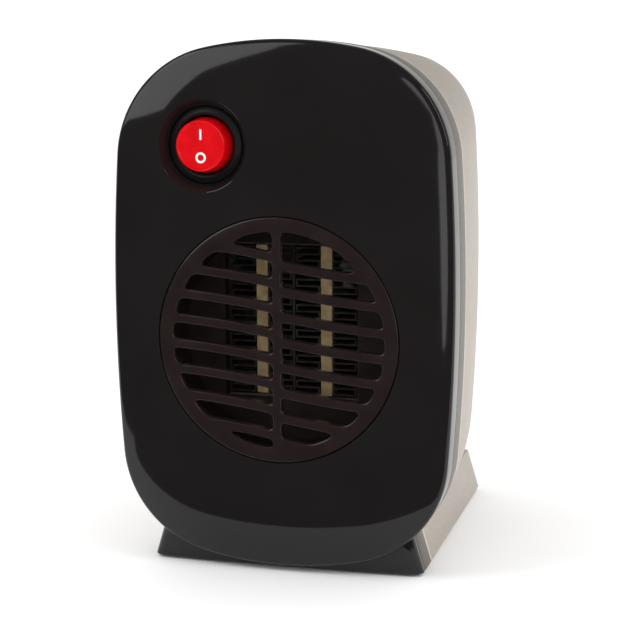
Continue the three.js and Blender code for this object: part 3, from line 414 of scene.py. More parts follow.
def makeRockerRed():                          # tinted see-through plastic, glossy outside, cloudy inside
    look = {"dark": (0.50, 0.0010, 0.004), "light": (0.66, 0.0018, 0.006), "mottleScale": 260,
            "grainScale": 700, "roughness": (0.14, 0.22), "bump": 0.03, "bumpDepth": 0.03 * mm,
            "specular": 0.22, "glowThrough": 0.25, "glowReach": (2.0 * mm, 0.2 * mm, 0.2 * mm)}
    material, tree, shader, coords = newFinish("rockerRed")
    mottle = addNoise(tree, coords, look["mottleScale"], 3)
    tree.links.new(addColours(tree, mottle, look["dark"], look["light"]), shader.inputs["Base Color"])
    grain = addNoise(tree, coords, look["grainScale"], 2)
    tree.links.new(addRange(tree, grain, *look["roughness"]), shader.inputs["Roughness"])
    addBump(tree, shader, grain, look["bump"], look["bumpDepth"])
    shader.inputs["Specular IOR Level"].default_value = look["specular"]
    shader.inputs["Subsurface Weight"].default_value = look["glowThrough"]
    shader.inputs["Subsurface Radius"].default_value = look["glowReach"]
    shader.inputs["Subsurface Scale"].default_value = 1
    return material


silverPaint = makeSilverPaint()
rockerRed = makeRockerRed()
print("finishes ready")


# outline of the shells, drawn by spinning a point about one arc centre after another

frontOutline = {
    "halfWidth": shellBox[1].x, "top": shellBox[1].z, "bottom": 1.8 * mm, "widest": 83.4 * mm,
    "sideRadius": 636 * mm, "topRadius": 117.5 * mm, "bottomRadius": 110 * mm,
    "topCorner": 35.3 * mm, "bottomCorner": 34.5 * mm,
}
rearOutline = {
    "halfWidth": 43.6 * mm, "top": 161.1 * mm, "bottom": 5.9 * mm, "widest": 87.5 * mm,
    "sideRadius": 800 * mm, "topRadius": 95 * mm, "bottomRadius": 100 * mm,
    "topCorner": 27 * mm, "bottomCorner": 34 * mm,
}
arcSteps = {"corner": 22, "side": 14, "end": 22}


def touchingCentre(first, firstRadius, second, secondRadius, radius):
    between = second - first
    fromFirst = firstRadius - radius
    fromSecond = secondRadius - radius
    along = (between.length_squared + fromFirst ** 2 - fromSecond ** 2) / (2 * between.length)
    across = math.sqrt(fromFirst ** 2 - along ** 2)
    along = first + between.normalized() * along
    normal = Vector((-between.y, between.x)).normalized() * across
    return max(along + normal, along - normal, key=lambda point: point.x)


def turnOf(direction):
    return math.atan2(direction.y, direction.x)


def outlineArcs(outline):                     # centre, start angle, end angle and steps, all the way round
    sideRadius, topRadius, bottomRadius = (outline[end + "Radius"] for end in ("side", "top", "bottom"))
    side = Vector((outline["halfWidth"] - sideRadius, outline["widest"]))
    top = Vector((0, outline["top"] - topRadius))
    bottom = Vector((0, outline["bottom"] + bottomRadius))
    high = touchingCentre(side, sideRadius, top, topRadius, outline["topCorner"])
    low = touchingCentre(side, sideRadius, bottom, bottomRadius, outline["bottomCorner"])
    bottomTurn, lowTurn = turnOf(low - bottom), turnOf(low - side)
    highTurn, topTurn = turnOf(high - side), turnOf(high - top)
    right = [
        (low, bottomTurn, lowTurn, arcSteps["corner"]),
        (side, lowTurn, highTurn, arcSteps["side"]),
        (high, highTurn, topTurn, arcSteps["corner"]),
    ]
    left = [
        (Vector((-centre.x, centre.y)), math.pi - to, math.pi - start, steps)
        for centre, start, to, steps in reversed(right)
    ]
    over = (top, topTurn, math.pi - topTurn, arcSteps["end"])
    under = (bottom, -math.pi - bottomTurn, bottomTurn, arcSteps["end"])
    return bottom, [*right, over, *left, under]


def fillOutline(piece, side):                 # a face over the drawn line, looking to that side along y
    bpy.ops.mesh.edge_face_add()
    bpy.ops.mesh.select_mode(type="FACE")
    faces = bmesh.from_edit_mesh(piece.data).faces
    faces.ensure_lookup_table()
    if faces[0].normal.y * side < 0:
        bpy.ops.mesh.flip_normals()


def drawOutline(name, outline, y):            # a filled outline facing the front, left in edit mode
    bottom, arcs = outlineArcs(outline)
    start = arcs[0][1]
    reach = outline["bottomRadius"]
    piece = startPoint(name, bottom.x + reach * math.cos(start), y, bottom.y + reach * math.sin(start))
    for centre, fromTurn, toTurn, steps in arcs:
        bpy.ops.mesh.spin(
            steps=steps, angle=toTurn - fromTurn, center=(centre.x, y, centre.y), axis=(0, 1, 0))
    bpy.ops.mesh.select_all(action="SELECT")
    bpy.ops.mesh.remove_doubles(threshold=0.02 * mm)
    fillOutline(piece, -1)
    return piece


def insetBy(thickness, depth):
    bpy.ops.mesh.inset(thickness=thickness, depth=depth, use_even_offset=True)


def insetRound(radius, turn, steps):          # rolls the picked face's edge over by that turn
    for step in range(steps):
        now, then = (turn * (step + i) / steps for i in (0, 1))
        insetBy(radius * (math.cos(now) - math.cos(then)), radius * (math.sin(then) - math.sin(now)))


# foot: a low block with leaning sides

footSize = {
    "halfWidth": 43.8 * mm, "bottom": 0.8 * mm, "top": 14.8 * mm, "slope": 0.3, "frontY": -48.5 * mm,
    "rearY": housingBox[1].y, "bulge": 1.5 * mm, "corner": 3 * mm, "edge": 0.5 * mm,
}


def makeFoot(name, frontY, rearY, rounded):
    height = footSize["top"] - footSize["bottom"]
    deselectAll()
    bpy.ops.mesh.primitive_cube_add(
        size=1, location=(0, (frontY + rearY) / 2, footSize["bottom"] + height / 2),
        scale=(2 * footSize["halfWidth"], rearY - frontY, height))
    foot = startPiece(name)
    editPiece(foot)
    pick("FACE", lambda face: face.normal.z > 0.9)
    lean = 1 - footSize["slope"] * height / footSize["halfWidth"]
    bpy.ops.transform.resize(value=(lean, 1, 1))
    if rounded:
        pick("EDGE", lambda edge: all(near(v.co.y, frontY) for v in edge.verts)
             and abs(edge.verts[0].co.x - edge.verts[1].co.x) < height)
        bpy.ops.mesh.bevel(offset=footSize["corner"], segments=8, affect="EDGES")
        pick("EDGE", lambda edge: all(near(v.co.y, frontY) for v in edge.verts)
             and abs(edge.verts[0].co.x - edge.verts[1].co.x) > height)
        bpy.ops.mesh.subdivide(number_cuts=15)
        flat = footSize["halfWidth"] - footSize["corner"]
        mesh = bmesh.from_edit_mesh(foot.data)
        columns = sorted({round(v.co.x / flat, 3) for v in mesh.verts if near(v.co.y, frontY)})
        for column in columns:
            pick("VERT", lambda v: near(v.co.y, frontY) and round(v.co.x / flat, 3) == column)
            moveBy(0, -footSize["bulge"] * max(1 - column ** 2, 0), 0)
    weldAndTurnOut()
    doneEditing()
    softenEdges(foot, footSize["edge"], 3, 50)
    return foot


# front shell: a side wall, a small round, a gently crowned margin and a flat middle

shellSize = {
    "crownDepth": 3.9 * mm, "crownInset": 20 * mm, "crownSteps": 20, "edgeRadius": 1.8 * mm,
    "edgeTurn": math.radians(70), "edgeSteps": 7, "grilleHole": grilleBox[1].x + gap,
    "recessRadius": bezelRadius + 2.15 * mm, "recessDepth": 4 * mm, "seatDepth": 1.6 * mm,
    "recessFloor": 1.8 * mm, "recessWall": 1.2 * mm,
}


def crownY(inset):
    share = max(shellSize["crownInset"] - inset, 0) / shellSize["crownInset"]
    return faceY + shellSize["crownDepth"] * share ** 2


def makeFrontShell():
    radius, turn = shellSize["edgeRadius"], shellSize["edgeTurn"]
    edgeReach = radius * (1 - math.cos(turn))
    edgeY = crownY(edgeReach) + radius * math.sin(turn)
    shell = drawOutline("frontShell", frontOutline, seamY)
    extrudeBy(0, edgeY - seamY, 0)
    insetRound(radius, turn, shellSize["edgeSteps"])
    inset = edgeReach
    for step in range(shellSize["crownSteps"]):
        nextInset = edgeReach + (shellSize["crownInset"] - edgeReach) * (step + 1) / shellSize["crownSteps"]
        insetBy(nextInset - inset, crownY(inset) - crownY(nextInset))
        inset = nextInset
    insetBy(0.6 * mm, 0)
    pick("FACE", lambda face: near(face.calc_center_median().y, seamY))
    bpy.ops.mesh.delete(type="ONLY_FACE")
    doneEditing()
    applyModifier(shell, "SOLIDIFY", thickness=wall, offset=-1, use_even_offset=True, use_rim=True)
    combine(shell, makeFoot("frontFoot", footSize["frontY"], seamY, True), "UNION")
    hole = barAlongY("grilleHole", 0, grilleZ, shellSize["grilleHole"], faceY - mm, seamY, 144)
    combine(shell, hole, "DIFFERENCE")
    outer, inner = shellSize["recessRadius"], bezelRadius + gap
    floorY = faceY + shellSize["recessDepth"]
    seatY = floorY + shellSize["seatDepth"]
    bossRearY = seatY + shellSize["recessFloor"]
    boss = barAlongY("switchBoss", switchX, switchZ, outer + shellSize["recessWall"],
                     faceY + wall - mm, bossRearY, 96)
    combine(shell, boss, "UNION")
    recess = turnProfile("switchRecess", [
        (0, faceY - mm), (outer + 1.2 * mm, faceY - mm), (outer + 0.55 * mm, faceY - 0.1 * mm),
        (outer + 0.2 * mm, faceY + 0.1 * mm), (outer, faceY + 0.4 * mm),
        (inner + 0.3 * mm, floorY - 0.3 * mm), (inner, floorY + 0.1 * mm), (inner, seatY), (0, seatY),
    ], switchX, switchZ, 128)
    combine(shell, recess, "DIFFERENCE")
    barrel = barAlongY("barrelHole", switchX, switchZ, barrelRadius + gap, faceY, bossRearY + mm, 96)
    combine(shell, barrel, "DIFFERENCE")
    smoothShade(shell, 18)
    finishPiece(shell, "housing", "gloss_black", glossBlack, "front_shell")


makeFrontShell()


# rear housing: a straight band, a small step, a body that draws in toward the rear, and the foot

housingSize = {
    "frontY": housingBox[0].y, "step": 0.6 * mm, "rearFaceY": 52.8 * mm, "rearEdge": 5 * mm,
    "rearSteps": 8, "rings": 22, "taperPower": 1.8,
}
postSize = {"places": [(33, 33.5), (35, 113.5)], "radius": 4 * mm, "hole": 2.9 * mm, "frontY": -30.7 * mm}
intakeSize = {"radius": 31 * mm, "pitch": 6.4 * mm, "slot": 3.4 * mm, "rows": 9, "bar": 4 * mm}
glandSize = {
    "x": 20 * mm, "z": 27 * mm, "hole": 5.5 * mm, "bore": 2.6 * mm, "neck": 5.2 * mm, "lip": 6.6 * mm,
    "lipThick": 1.5 * mm, "slack": 1.5 * mm,
}


def cutIntakeSlots(housing):
    rearY = housingSize["rearFaceY"]
    slots = []
    for row in range(intakeSize["rows"]):
        offset = (row - (intakeSize["rows"] - 1) / 2) * intakeSize["pitch"]
        reach = math.sqrt(intakeSize["radius"] ** 2 - offset ** 2)
        start = intakeSize["bar"] / 2
        for side in (-1, 1):
            deselectAll()
            bpy.ops.mesh.primitive_cube_add(
                size=1, location=(side * (start + reach) / 2, rearY - wall / 2, grilleZ + offset),
                scale=(reach - start, wall * 3, intakeSize["slot"]))
            slot = startPiece("slot")
            editPiece(slot)
            pick("EDGE", lambda edge: abs(edge.verts[0].co.y - edge.verts[1].co.y) > wall)
            bpy.ops.mesh.bevel(offset=intakeSize["slot"] * 0.48, segments=6, affect="EDGES")
            doneEditing()
            slots.append(slot)
    combine(housing, joinAll(slots), "DIFFERENCE")


def makeRearHousing():
    rollStartY = housingSize["rearFaceY"] - housingSize["rearEdge"]
    band = drawOutline("rearHousing", frontOutline, housingSize["frontY"])
    bpy.ops.mesh.flip_normals()
    extrudeBy(0, bandEndY - housingSize["step"] / 2 - housingSize["frontY"], 0)
    insetBy(0.15 * mm, 0.1 * mm)
    insetBy(housingSize["step"] - 0.15 * mm, 0.2 * mm)
    pick("FACE", lambda face: len(face.verts) > 4)
    bpy.ops.mesh.delete(type="ONLY_FACE")
    doneEditing()
    back = drawOutline("rearPart", rearOutline, rollStartY)
    bpy.ops.mesh.flip_normals()
    insetRound(housingSize["rearEdge"], math.pi / 2, housingSize["rearSteps"])
    doneEditing()
    housing = joinAll([band, back])
    editPiece(housing)
    pick("EDGE", lambda edge: edge.is_boundary and edge.verts[0].co.y > bandEndY - mm)
    bpy.ops.mesh.bridge_edge_loops(number_cuts=housingSize["rings"] - 1, interpolation="LINEAR")
    for ring in reversed(range(1, housingSize["rings"])):      # each ring moves back into free space
        share = ring / housingSize["rings"]
        y = bandEndY + (rollStartY - bandEndY) * share
        pick("VERT", lambda v: near(v.co.y, y, 0.2 * mm))
        moveBy(0, (rollStartY - bandEndY) * (share ** (1 / housingSize["taperPower"]) - share), 0)
    bpy.ops.mesh.select_all(action="SELECT")
    bpy.ops.mesh.normals_make_consistent(inside=False)
    doneEditing()
    return housing


def finishRearHousing(housing):
    radius, holeRadius = postSize["radius"], postSize["hole"]
    rearY = housingSize["rearFaceY"]
    applyModifier(housing, "SOLIDIFY", thickness=wall, offset=-1, use_even_offset=True, use_rim=True)
    combine(housing, makeFoot("rearFoot", housingSize["frontY"], footSize["rearY"], False), "UNION", True)
    places = [(side * x * mm, z * mm) for x, z in postSize["places"] for side in (-1, 1)]
    posts = [barAlongY("post", x, z, radius, postSize["frontY"], rearY - wall / 2, 48) for x, z in places]
    combine(housing, joinAll(posts), "UNION")
    holes = [barAlongY("hole", x, z, holeRadius, postSize["frontY"] - mm, rearY + mm, 40) for x, z in places]
    combine(housing, joinAll(holes), "DIFFERENCE")
    cutIntakeSlots(housing)
    x, z = glandSize["x"], glandSize["z"]
    bore = barAlongY("glandHole", x, z, glandSize["hole"], rearY - 2 * wall, rearY + mm)
    combine(housing, bore, "DIFFERENCE")
    smoothShade(housing, 30)
    finishPiece(housing, "housing", "champagne_silver", silverPaint, "rear_housing")


finishRearHousing(makeRearHousing())


# outlet grille: a flat disc with curved slots, so that slats, rim and centre bar are one moulding

grilleSize = {
    "radius": grilleBox[1].x, "opening": 33.2 * mm, "depth": 3 * mm, "pitch": 7.78 * mm, "slat": 2.8 * mm,
    "slats": 8, "lift": 0.85 * mm, "skew": 1 * mm, "rise": 0.19, "bend": 2.0, "bar": 2.6 * mm,
    "barX": -0.15 * mm, "skirt": 35.4 * mm, "skirtWall": 1.5 * mm, "skirtDepth": 5 * mm,
    "steps": 9, "corner": 2.3 * mm, "tightest": 0.85 * mm, "round": 0.55 * mm, "topRound": 0.35 * mm,
    "bottomRound": 0.12 * mm, "roundSteps": 4,
}


def slatHeightAt(x, middle):                  # a slat falls from left to right in a flattened S
    reach = abs(x - grilleSize["barX"])
    side = 1 if x < grilleSize["barX"] else -1
    return middle + side * (grilleSize["skew"] + grilleSize["rise"] * reach - grilleSize["bend"] * reach ** 2)


def slatEdge(slat, offset):                   # height along the upper or lower edge of one slat
    middle = grilleZ + grilleSize["lift"] + (slat - grilleSize["slats"] / 2) * grilleSize["pitch"]
    return lambda x: slatHeightAt(x, middle) + offset


def edgeRound(row):                           # finer round on the narrow slots at the top and bottom
    if row < 0:
        return grilleSize["bottomRound"]
    return grilleSize["topRound"] if row == grilleSize["slats"] - 1 else grilleSize["round"]


def alongEdge(height, start, side, reach):    # from the centre bar out to the round opening
    inside, outside = start, side * reach
    for halving in range(40):
        x = (inside + outside) / 2
        if math.hypot(x, height(x) - grilleZ) < reach:
            inside = x
        else:
            outside = x
    steps = grilleSize["steps"]
    places = [start + (inside - start) * step / steps for step in range(steps + 1)]
    return [Vector((x, height(x))) for x in places]


def alongRim(start, end, reach):              # the short way round the opening
    first, last = (math.atan2(point.y - grilleZ, point.x) for point in (start, end))
    turn = (last - first + math.pi) % (2 * math.pi) - math.pi
    steps = grilleSize["steps"]
    turns = [first + turn * step / steps for step in range(steps + 1)]
    return [Vector((reach * math.cos(a), grilleZ + reach * math.sin(a))) for a in turns]


def cornerCut(path, following):               # a sharp corner loses more of both sides than a square one
    turn = (path[-1] - path[-2]).angle(following[1] - following[0])
    half = (math.pi - turn) / 2
    return max(grilleSize["corner"], grilleSize["tightest"] * math.cos(half) / math.sin(half) ** 2)


def shortened(path, first, last):             # a path without its two ends
    spans = [(b - a).length for a, b in zip(path, path[1:])]
    length = sum(spans)
    start, end = min(first, length * 0.42), length - min(last, length * 0.42)
    kept, passed = [], 0
    for a, b, span in zip(path, path[1:], spans):
        for mark in (start, end):
            if passed <= mark < passed + span:
                kept.append((mark, a.lerp(b, (mark - passed) / span)))
        passed += span
        if start + 0.2 * mm < passed < end - 0.2 * mm:
            kept.append((passed, b))
    return [point for mark, point in sorted(kept, key=lambda item: item[0])]


def slotOutline(row, side):                   # between two slats, the centre bar and the rim
    soft = edgeRound(row)
    reach = grilleSize["opening"] + soft
    half = grilleSize["slat"] / 2 - soft
    barX = grilleSize["barX"] + side * (grilleSize["bar"] / 2 - soft)
    rimHigh = math.sqrt(reach ** 2 - barX ** 2)
    low = [Vector((barX, grilleZ - rimHigh))]
    high = [Vector((barX, grilleZ + rimHigh))]
    if row >= 0:
        low = alongEdge(slatEdge(row, half), barX, side, reach)
    if row < grilleSize["slats"] - 1:
        high = alongEdge(slatEdge(row + 1, -half), barX, side, reach)
    paths = [low, alongRim(low[-1], high[-1], reach), high[::-1], [high[0], low[0]]]
    paths = [path for path in paths if len(path) > 1]
    cuts = [cornerCut(path, following) for path, following in zip(paths, paths[1:] + paths[:1])]
    cores = [shortened(path, cuts[i - 1], cuts[i]) for i, path in enumerate(paths)]
    outline = []
    for path, core, nextCore in zip(paths, cores, cores[1:] + cores[:1]):
        outline += core
        start, corner, end = core[-1], path[-1], nextCore[0]
        for share in (0.2, 0.4, 0.6, 0.8):
            outline.append(start.lerp(corner, share).lerp(corner.lerp(end, share), share))
    return outline


def makeSlot(row, side):                      # wide at the front, where the slats' edges are rounded
    soft, steps = edgeRound(row), grilleSize["roundSteps"]
    outline = slotOutline(row, side)
    slot = startPoint("slot", outline[0].x, faceY - mm, outline[0].y)
    for point, nextPoint in zip(outline, outline[1:]):
        extrudeBy(nextPoint.x - point.x, 0, nextPoint.y - point.y)
    bpy.ops.mesh.select_all(action="SELECT")
    fillOutline(slot, 1)
    extrudeBy(0, 0.99 * mm, 0)
    for step in range(steps):
        now, then = (math.pi / 2 * (steps - step - i) / steps for i in (0, 1))
        insetBy(soft * (math.cos(then) - math.cos(now)), soft * (math.sin(now) - math.sin(then)))
    extrudeBy(0, grilleSize["depth"], 0)
    pick("EDGE", lambda edge: edge.is_boundary)
    bpy.ops.mesh.edge_face_add()
    weldAndTurnOut()
    doneEditing()
    return slot


def makeGrille():
    radius, skirt = grilleSize["radius"], grilleSize["skirt"]
    backY = faceY + grilleSize["depth"]
    endY = backY + grilleSize["skirtDepth"]
    inner = skirt - grilleSize["skirtWall"]
    grille = turnProfile("outletGrille", [
        (0, faceY), (radius - 0.5 * mm, faceY), (radius - 0.15 * mm, faceY + 0.15 * mm),
        (radius, faceY + 0.5 * mm), (radius, backY), (skirt, backY), (skirt, endY), (inner, endY),
        (inner, backY), (0, backY),
    ], 0, grilleZ, 144)
    slots = []
    for row in range(-1, grilleSize["slats"]):
        for side in (-1, 1):
            if row < 0 and side > 0:
                continue                      # no room under the lowest slat on the right
            slots.append(makeSlot(row, side))
    combine(grille, joinAll(slots), "DIFFERENCE")
    smoothShade(grille, 40)
    finishPiece(grille, "housing", "dark_brown", darkBrown, "outlet_grille")


makeGrille()


# round rocker switch: bezel, rocker and its two marks

switchSize = {
    "well": 8.95 * mm, "wellDepth": 5.2 * mm, "rocker": 8.3 * mm, "face": 7.6 * mm, "rim": 0.35 * mm,
    "dish": 0.45 * mm, "pivotDepth": 6.4 * mm, "tail": 6.4 * mm, "tailDepth": 3.4 * mm,
    "barDown": 1.75 * mm, "barHigh": 3.1 * mm, "barWide": 0.62 * mm, "markHeight": 0.12 * mm,
    "ringAt": -3.55 * mm, "ringOuter": 1.62 * mm, "ringInner": 0.98 * mm,
}
pivotY = rockerBox[0].y + switchSize["pivotDepth"]


def makeBezel():
    frontY, rearY = bezelBox[0].y, bezelBox[1].y
    well, outer = switchSize["well"], bezelRadius
    wellY = pivotY + switchSize["wellDepth"]
    seatY = faceY + shellSize["recessDepth"] + shellSize["seatDepth"] - gap
    bezel = turnProfile("switchBezel", [
        (0, wellY), (well, wellY), (well, frontY + 0.7 * mm), (well + 0.3 * mm, frontY + 0.15 * mm),
        (well + 0.8 * mm, frontY), (outer - 1.4 * mm, frontY + 0.25 * mm),
        (outer - 0.4 * mm, frontY + 0.5 * mm), (outer, frontY + 0.9 * mm), (outer, seatY),
        (barrelRadius, seatY), (barrelRadius, rearY), (0, rearY),
    ], switchX, switchZ, 96)
    smoothShade(bezel, 40)
    finishPiece(bezel, "housing", "satin_black", satinBlack, "switch_bezel")


def makeRocker():
    frontY = rockerBox[0].y
    face, rim, dish = switchSize["face"], switchSize["rim"], switchSize["dish"]
    body, tail = switchSize["rocker"], switchSize["tail"]
    tailY = pivotY + switchSize["tailDepth"]
    rocker = turnProfile("switchRocker", [
        (0, frontY + dish), (face - rim - 0.35 * mm, frontY + dish),
        (face - rim - 0.1 * mm, frontY + 0.12 * mm), (face - rim + 0.1 * mm, frontY),
        (face - 0.15 * mm, frontY), (face, frontY + 0.15 * mm), (body - 0.1 * mm, pivotY - 1.7 * mm),
        (body, pivotY - 1.4 * mm), (body, pivotY + 0.5 * mm), (tail, tailY), (0, tailY),
    ], switchX, switchZ, 96)
    smoothShade(rocker, 30)
    finishPiece(rocker, "rocker", "signal_red", rockerRed, "switch_rocker")


def makeMarks():
    markY = rockerBox[0].y + switchSize["dish"] - switchSize["markHeight"]
    backY = markY + 2 * switchSize["markHeight"]
    barZ = switchZ + switchSize["barDown"] + switchSize["barHigh"] / 2
    deselectAll()
    bpy.ops.mesh.primitive_cube_add(
        size=1, location=(switchX, (markY + backY) / 2, barZ),
        scale=(switchSize["barWide"], backY - markY, switchSize["barHigh"]))
    bar = startPiece("markOn")
    softenEdges(bar, 0.06 * mm, 2, 50)
    smoothShade(bar)
    outer, inner = switchSize["ringOuter"], switchSize["ringInner"]
    ring = turnProfile("markOff", [
        (inner, markY + 0.04 * mm), (inner + 0.05 * mm, markY), (outer - 0.05 * mm, markY),
        (outer, markY + 0.04 * mm), (outer, backY), (inner, backY), (inner, markY + 0.04 * mm),
    ], switchX, switchZ + switchSize["ringAt"], 64)
    smoothShade(ring)
    for mark in (bar, ring):
        finishPiece(mark, "rocker", "white_insulator", markWhite)


makeBezel()
makeRocker()
makeMarks()


# air duct behind the grille, cord gland and rubber pads

ductSize = {"outer": 35.8 * mm, "inner": 34 * mm, "edge": 0.2 * mm}
padSize = {"rim": 1.1 * mm, "step": 0.4 * mm, "dip": 0.25 * mm, "edge": 0.3 * mm}


def makeDuct():
    frontY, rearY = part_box("front_duct")[0].y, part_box("front_duct")[1].y
    outer, inner, edge = ductSize["outer"], ductSize["inner"], ductSize["edge"]
    duct = turnProfile("airDuct", [
        (inner, frontY + edge), (inner + edge, frontY), (outer, frontY), (outer, rearY), (inner, rearY),
        (inner, frontY + edge),
    ], 0, grilleZ, 96)
    smoothShade(duct)
    finishPiece(duct, "housing", "brown_phenolic", brownPhenolic, "front_duct")


def makeGland():
    low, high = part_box("cord_gland")
    x, z = (low.x + high.x) / 2, (low.z + high.z) / 2
    flange = (high.x - low.x) / 2
    seatY = housingSize["rearFaceY"] + gap
    innerY = seatY - wall - glandSize["slack"] - 2 * gap
    bore, neck, lip = glandSize["bore"], glandSize["neck"], glandSize["lip"]
    gland = turnProfile("cordGland", [
        (bore, low.y), (lip, innerY - glandSize["lipThick"]), (lip, innerY), (neck, innerY), (neck, seatY),
        (flange, seatY), (flange, seatY + 0.9 * mm), (flange - 0.5 * mm, seatY + 1.5 * mm),
        (flange - 2 * mm, seatY + 1.9 * mm), (3.9 * mm, high.y - 0.15 * mm), (3.5 * mm, high.y),
        (2.9 * mm, high.y), (bore, high.y - 0.3 * mm), (bore, low.y),
    ], x, z, 64)
    smoothShade(gland, 40)
    finishPiece(gland, "housing", "black_rubber", blackRubber, "cord_gland")


def makePads():
    for name in ("front_left", "front_right", "rear_left", "rear_right"):
        low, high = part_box("foot_pad_" + name)
        deselectAll()
        bpy.ops.mesh.primitive_cylinder_add(
            vertices=64, radius=(high.x - low.x) / 2, depth=high.z - low.z, location=(low + high) / 2)
        pad = startPiece("footPad_" + name)
        editPiece(pad)
        pick("FACE", lambda face: face.normal.z < -0.9)
        bpy.ops.mesh.inset(thickness=padSize["rim"], depth=0)
        bpy.ops.mesh.inset(thickness=padSize["step"], depth=-padSize["dip"])
        doneEditing()
        softenEdges(pad, padSize["edge"], 3, 50)
        smoothShade(pad)
        finishPiece(pad, "housing", "black_rubber", blackRubber, "foot_pad_" + name)


makeDuct()
makeGland()
makePads()


# the pieces whose CAD shape is right keep it and take their finish

keptFinishes = {
    "contact_plate": bareAluminium, "fin_bank": bareAluminium, "ceramic": ceramicTan,
    "holder": holderMica, "heater_frame": brownPhenolic, "fan_shroud": brownPhenolic,
    "thermal_cutout": brightSteel, "motor_shaft": brightSteel, "motor_core": laminatedIron,
    "motor_coil": copperEnamel, "motor_bracket": brightSteel, "housing_screw": brightSteel,
    "frame_screw": brightSteel, "motor_screw": brightSteel, "core_bolt": brightSteel,
    "switch_tab": brassTab, "wire_return": blueWire, "wire": brownWire, "fan": fanPlastic,
}
for node, piece in frame["nodes"].items():
    if piece.hide_render:
        continue
    finish = next(material for start, material in keptFinishes.items() if node.startswith(start))
    piece.data.materials.clear()
    piece.data.materials.append(finish)
print("kept pieces finished")


# room: pale floor, soft light all round, a dark side in front for the gloss to reflect

roomSize = {"floor": 8.0, "paleFront": -0.082, "paleCurve": 2.0, "curveLimit": 0.028}
roomTones = {
    "paperDark": (0.93, 0.93, 0.93), "paperLight": (0.95, 0.95, 0.95), "unlit": (0.02, 0.02, 0.02),
    "lit": (0.95, 0.94, 0.92), "allRound": 1.2,
}
leftCard = {"y": -0.6, "glow": 2.6, "corners": [
    (-0.430, 0.262), (-0.215, 0.560), (-0.150, 0.750), (-1.500, 0.750), (-1.500, 0.330), (-0.860, 0.300)]}
rightCard = {"y": -0.3, "glow": 2.6, "corners": [
    (0.089, 0.286), (0.127, 0.247), (0.153, 0.215), (0.163, 0.149), (0.159, 0.110), (0.160, 0.060),
    (0.168, 0.020), (0.178, 0.020), (0.186, 0.060), (0.191, 0.120), (0.184, 0.170), (0.168, 0.214),
    (0.148, 0.252), (0.124, 0.287), (0.100, 0.296)]}


def makeFloor():
    deselectAll()
    bpy.ops.mesh.primitive_plane_add(size=roomSize["floor"], location=(0, 0, 0))
    floor = startPiece("floor")
    material, tree, shader, coords = newFinish("floorPaper")
    tone = addColours(tree, addNoise(tree, coords, 6, 3), roomTones["paperDark"], roomTones["paperLight"])
    tree.links.new(tone, shader.inputs["Base Color"])
    shader.inputs["Roughness"].default_value = 0.8
    shader.inputs["Specular IOR Level"].default_value = 0.1
    dark = tree.nodes.new("ShaderNodeEmission")
    dark.inputs["Color"].default_value = (*roomTones["unlit"], 1)
    split = tree.nodes.new("ShaderNodeSeparateXYZ")            # the gloss sees a dark floor ahead of
    tree.links.new(coords, split.inputs["Vector"])             # a curved line, and the pale one behind
    square = addMath(tree, "POWER", split.outputs["X"], 2)
    limited = addMath(tree, "MINIMUM", square, roomSize["curveLimit"])
    curve = addMath(tree, "MULTIPLY_ADD", limited, roomSize["paleCurve"], split.outputs["Y"])
    ahead = addMath(tree, "LESS_THAN", curve, roomSize["paleFront"])
    path = tree.nodes.new("ShaderNodeLightPath")
    both = addMath(tree, "MULTIPLY", path.outputs["Is Glossy Ray"], ahead)
    mixShaders(tree, both, shader.outputs["BSDF"], dark.outputs["Emission"], "Material Output")
    floor.data.materials.append(material)


def makeWorld():
    world = bpy.data.worlds.new("studio")
    bpy.context.scene.world = world
    world.use_nodes = True
    tree = world.node_tree
    background = tree.nodes["Background"]
    background.inputs["Color"].default_value = (1, 1, 1, 1)
    background.inputs["Strength"].default_value = roomTones["allRound"]
    coords = tree.nodes.new("ShaderNodeTexCoord")
    split = tree.nodes.new("ShaderNodeSeparateXYZ")
    tree.links.new(coords.outputs["Generated"], split.inputs["Vector"])
    fade = addRange(tree, split.outputs["Y"], 0.0, 1.0, -0.05, 0.35)
    overhead = addRange(tree, split.outputs["Z"], 1.0, 0.35, 0.0, 0.6)
    both = addMath(tree, "MULTIPLY", fade, overhead)
    reflected = tree.nodes.new("ShaderNodeBackground")
    tones = addColours(tree, both, roomTones["unlit"], roomTones["lit"], 0, 1)
    tree.links.new(tones, reflected.inputs["Color"])
    path = tree.nodes.new("ShaderNodeLightPath")
    usual, other = background.outputs["Background"], reflected.outputs["Background"]
    mixShaders(tree, path.outputs["Is Glossy Ray"], usual, other, "World Output")


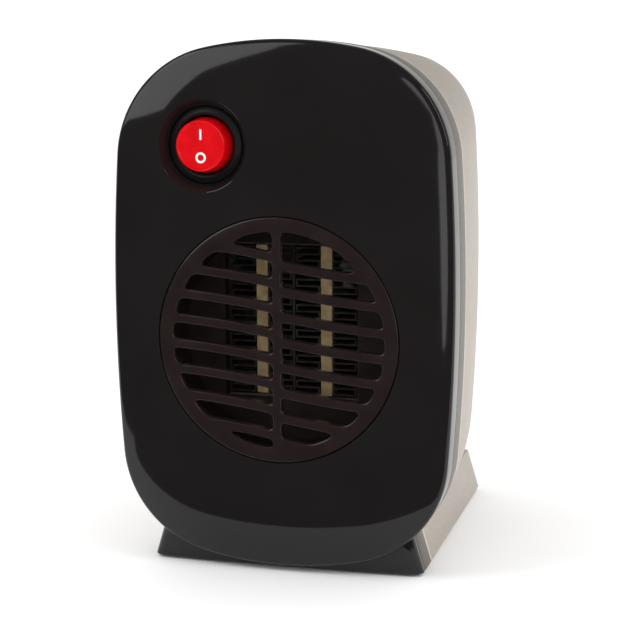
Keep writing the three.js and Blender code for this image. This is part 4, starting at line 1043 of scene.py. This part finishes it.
def makeCard(name, card):                     # a lit panel that only reflections see
    first = card["corners"][0]
    panel = startPoint(name, first[0], card["y"], first[1])
    for (x, z), (nextX, nextZ) in zip(card["corners"], card["corners"][1:]):
        extrudeBy(nextX - x, 0, nextZ - z)
    bpy.ops.mesh.select_all(action="SELECT")
    bpy.ops.mesh.edge_face_add()
    doneEditing()
    material, tree = newFinish(name + "Glow")[:2]
    glow = tree.nodes.new("ShaderNodeEmission")
    glow.inputs["Strength"].default_value = card["glow"]
    tree.links.new(glow.outputs["Emission"], tree.nodes["Material Output"].inputs["Surface"])
    panel.data.materials.append(material)
    panel.visible_camera = False
    panel.visible_diffuse = False
    panel.visible_shadow = False


softboxAim = Vector((0, 0, 0.08))
softboxes = {
    "softboxLeft": {"place": (-0.75, -0.55, 0.9), "width": 0.5, "height": 0.5, "power": 3},
    "stripRight": {"place": (0.9, -0.3, 0.6), "width": 0.15, "height": 0.7, "power": 2},
}


def makeSoftbox(name, box):
    light = bpy.data.lights.new(name, "AREA")
    light.shape = "RECTANGLE"
    light.size = box["width"]
    light.size_y = box["height"]
    light.energy = box["power"]
    lamp = bpy.data.objects.new(name, light)
    bpy.context.scene.collection.objects.link(lamp)
    lamp.location = box["place"]
    lamp.rotation_euler = (softboxAim - Vector(box["place"])).to_track_quat("-Z", "Y").to_euler()


def makeCamera():
    view = {"azimuth": math.radians(14.19), "elevation": math.radians(9.46), "distance": 0.5413,
            "target": Vector((0.0037, 0.0055, 0.0695)), "lens": 90.3, "shiftX": -0.0325, "shiftY": 0.0045}
    camera = bpy.data.cameras.new("camera")
    camera.lens = view["lens"]
    camera.sensor_width = 36
    camera.shift_x = view["shiftX"]
    camera.shift_y = view["shiftY"]
    holder = bpy.data.objects.new("camera", camera)
    bpy.context.scene.collection.objects.link(holder)
    level = math.cos(view["elevation"])
    back = Vector((
        math.sin(view["azimuth"]) * level, -math.cos(view["azimuth"]) * level, math.sin(view["elevation"])))
    holder.location = view["target"] + back * view["distance"]
    holder.rotation_euler = (math.pi / 2 - view["elevation"], 0, view["azimuth"])
    bpy.context.scene.camera = holder
    bpy.context.scene.view_settings.view_transform = "Standard"


makeFloor()
makeWorld()
makeCard("cardLeft", leftCard)
makeCard("cardRight", rightCard)
for name, box in softboxes.items():
    makeSoftbox(name, box)
makeCamera()
print("room ready")
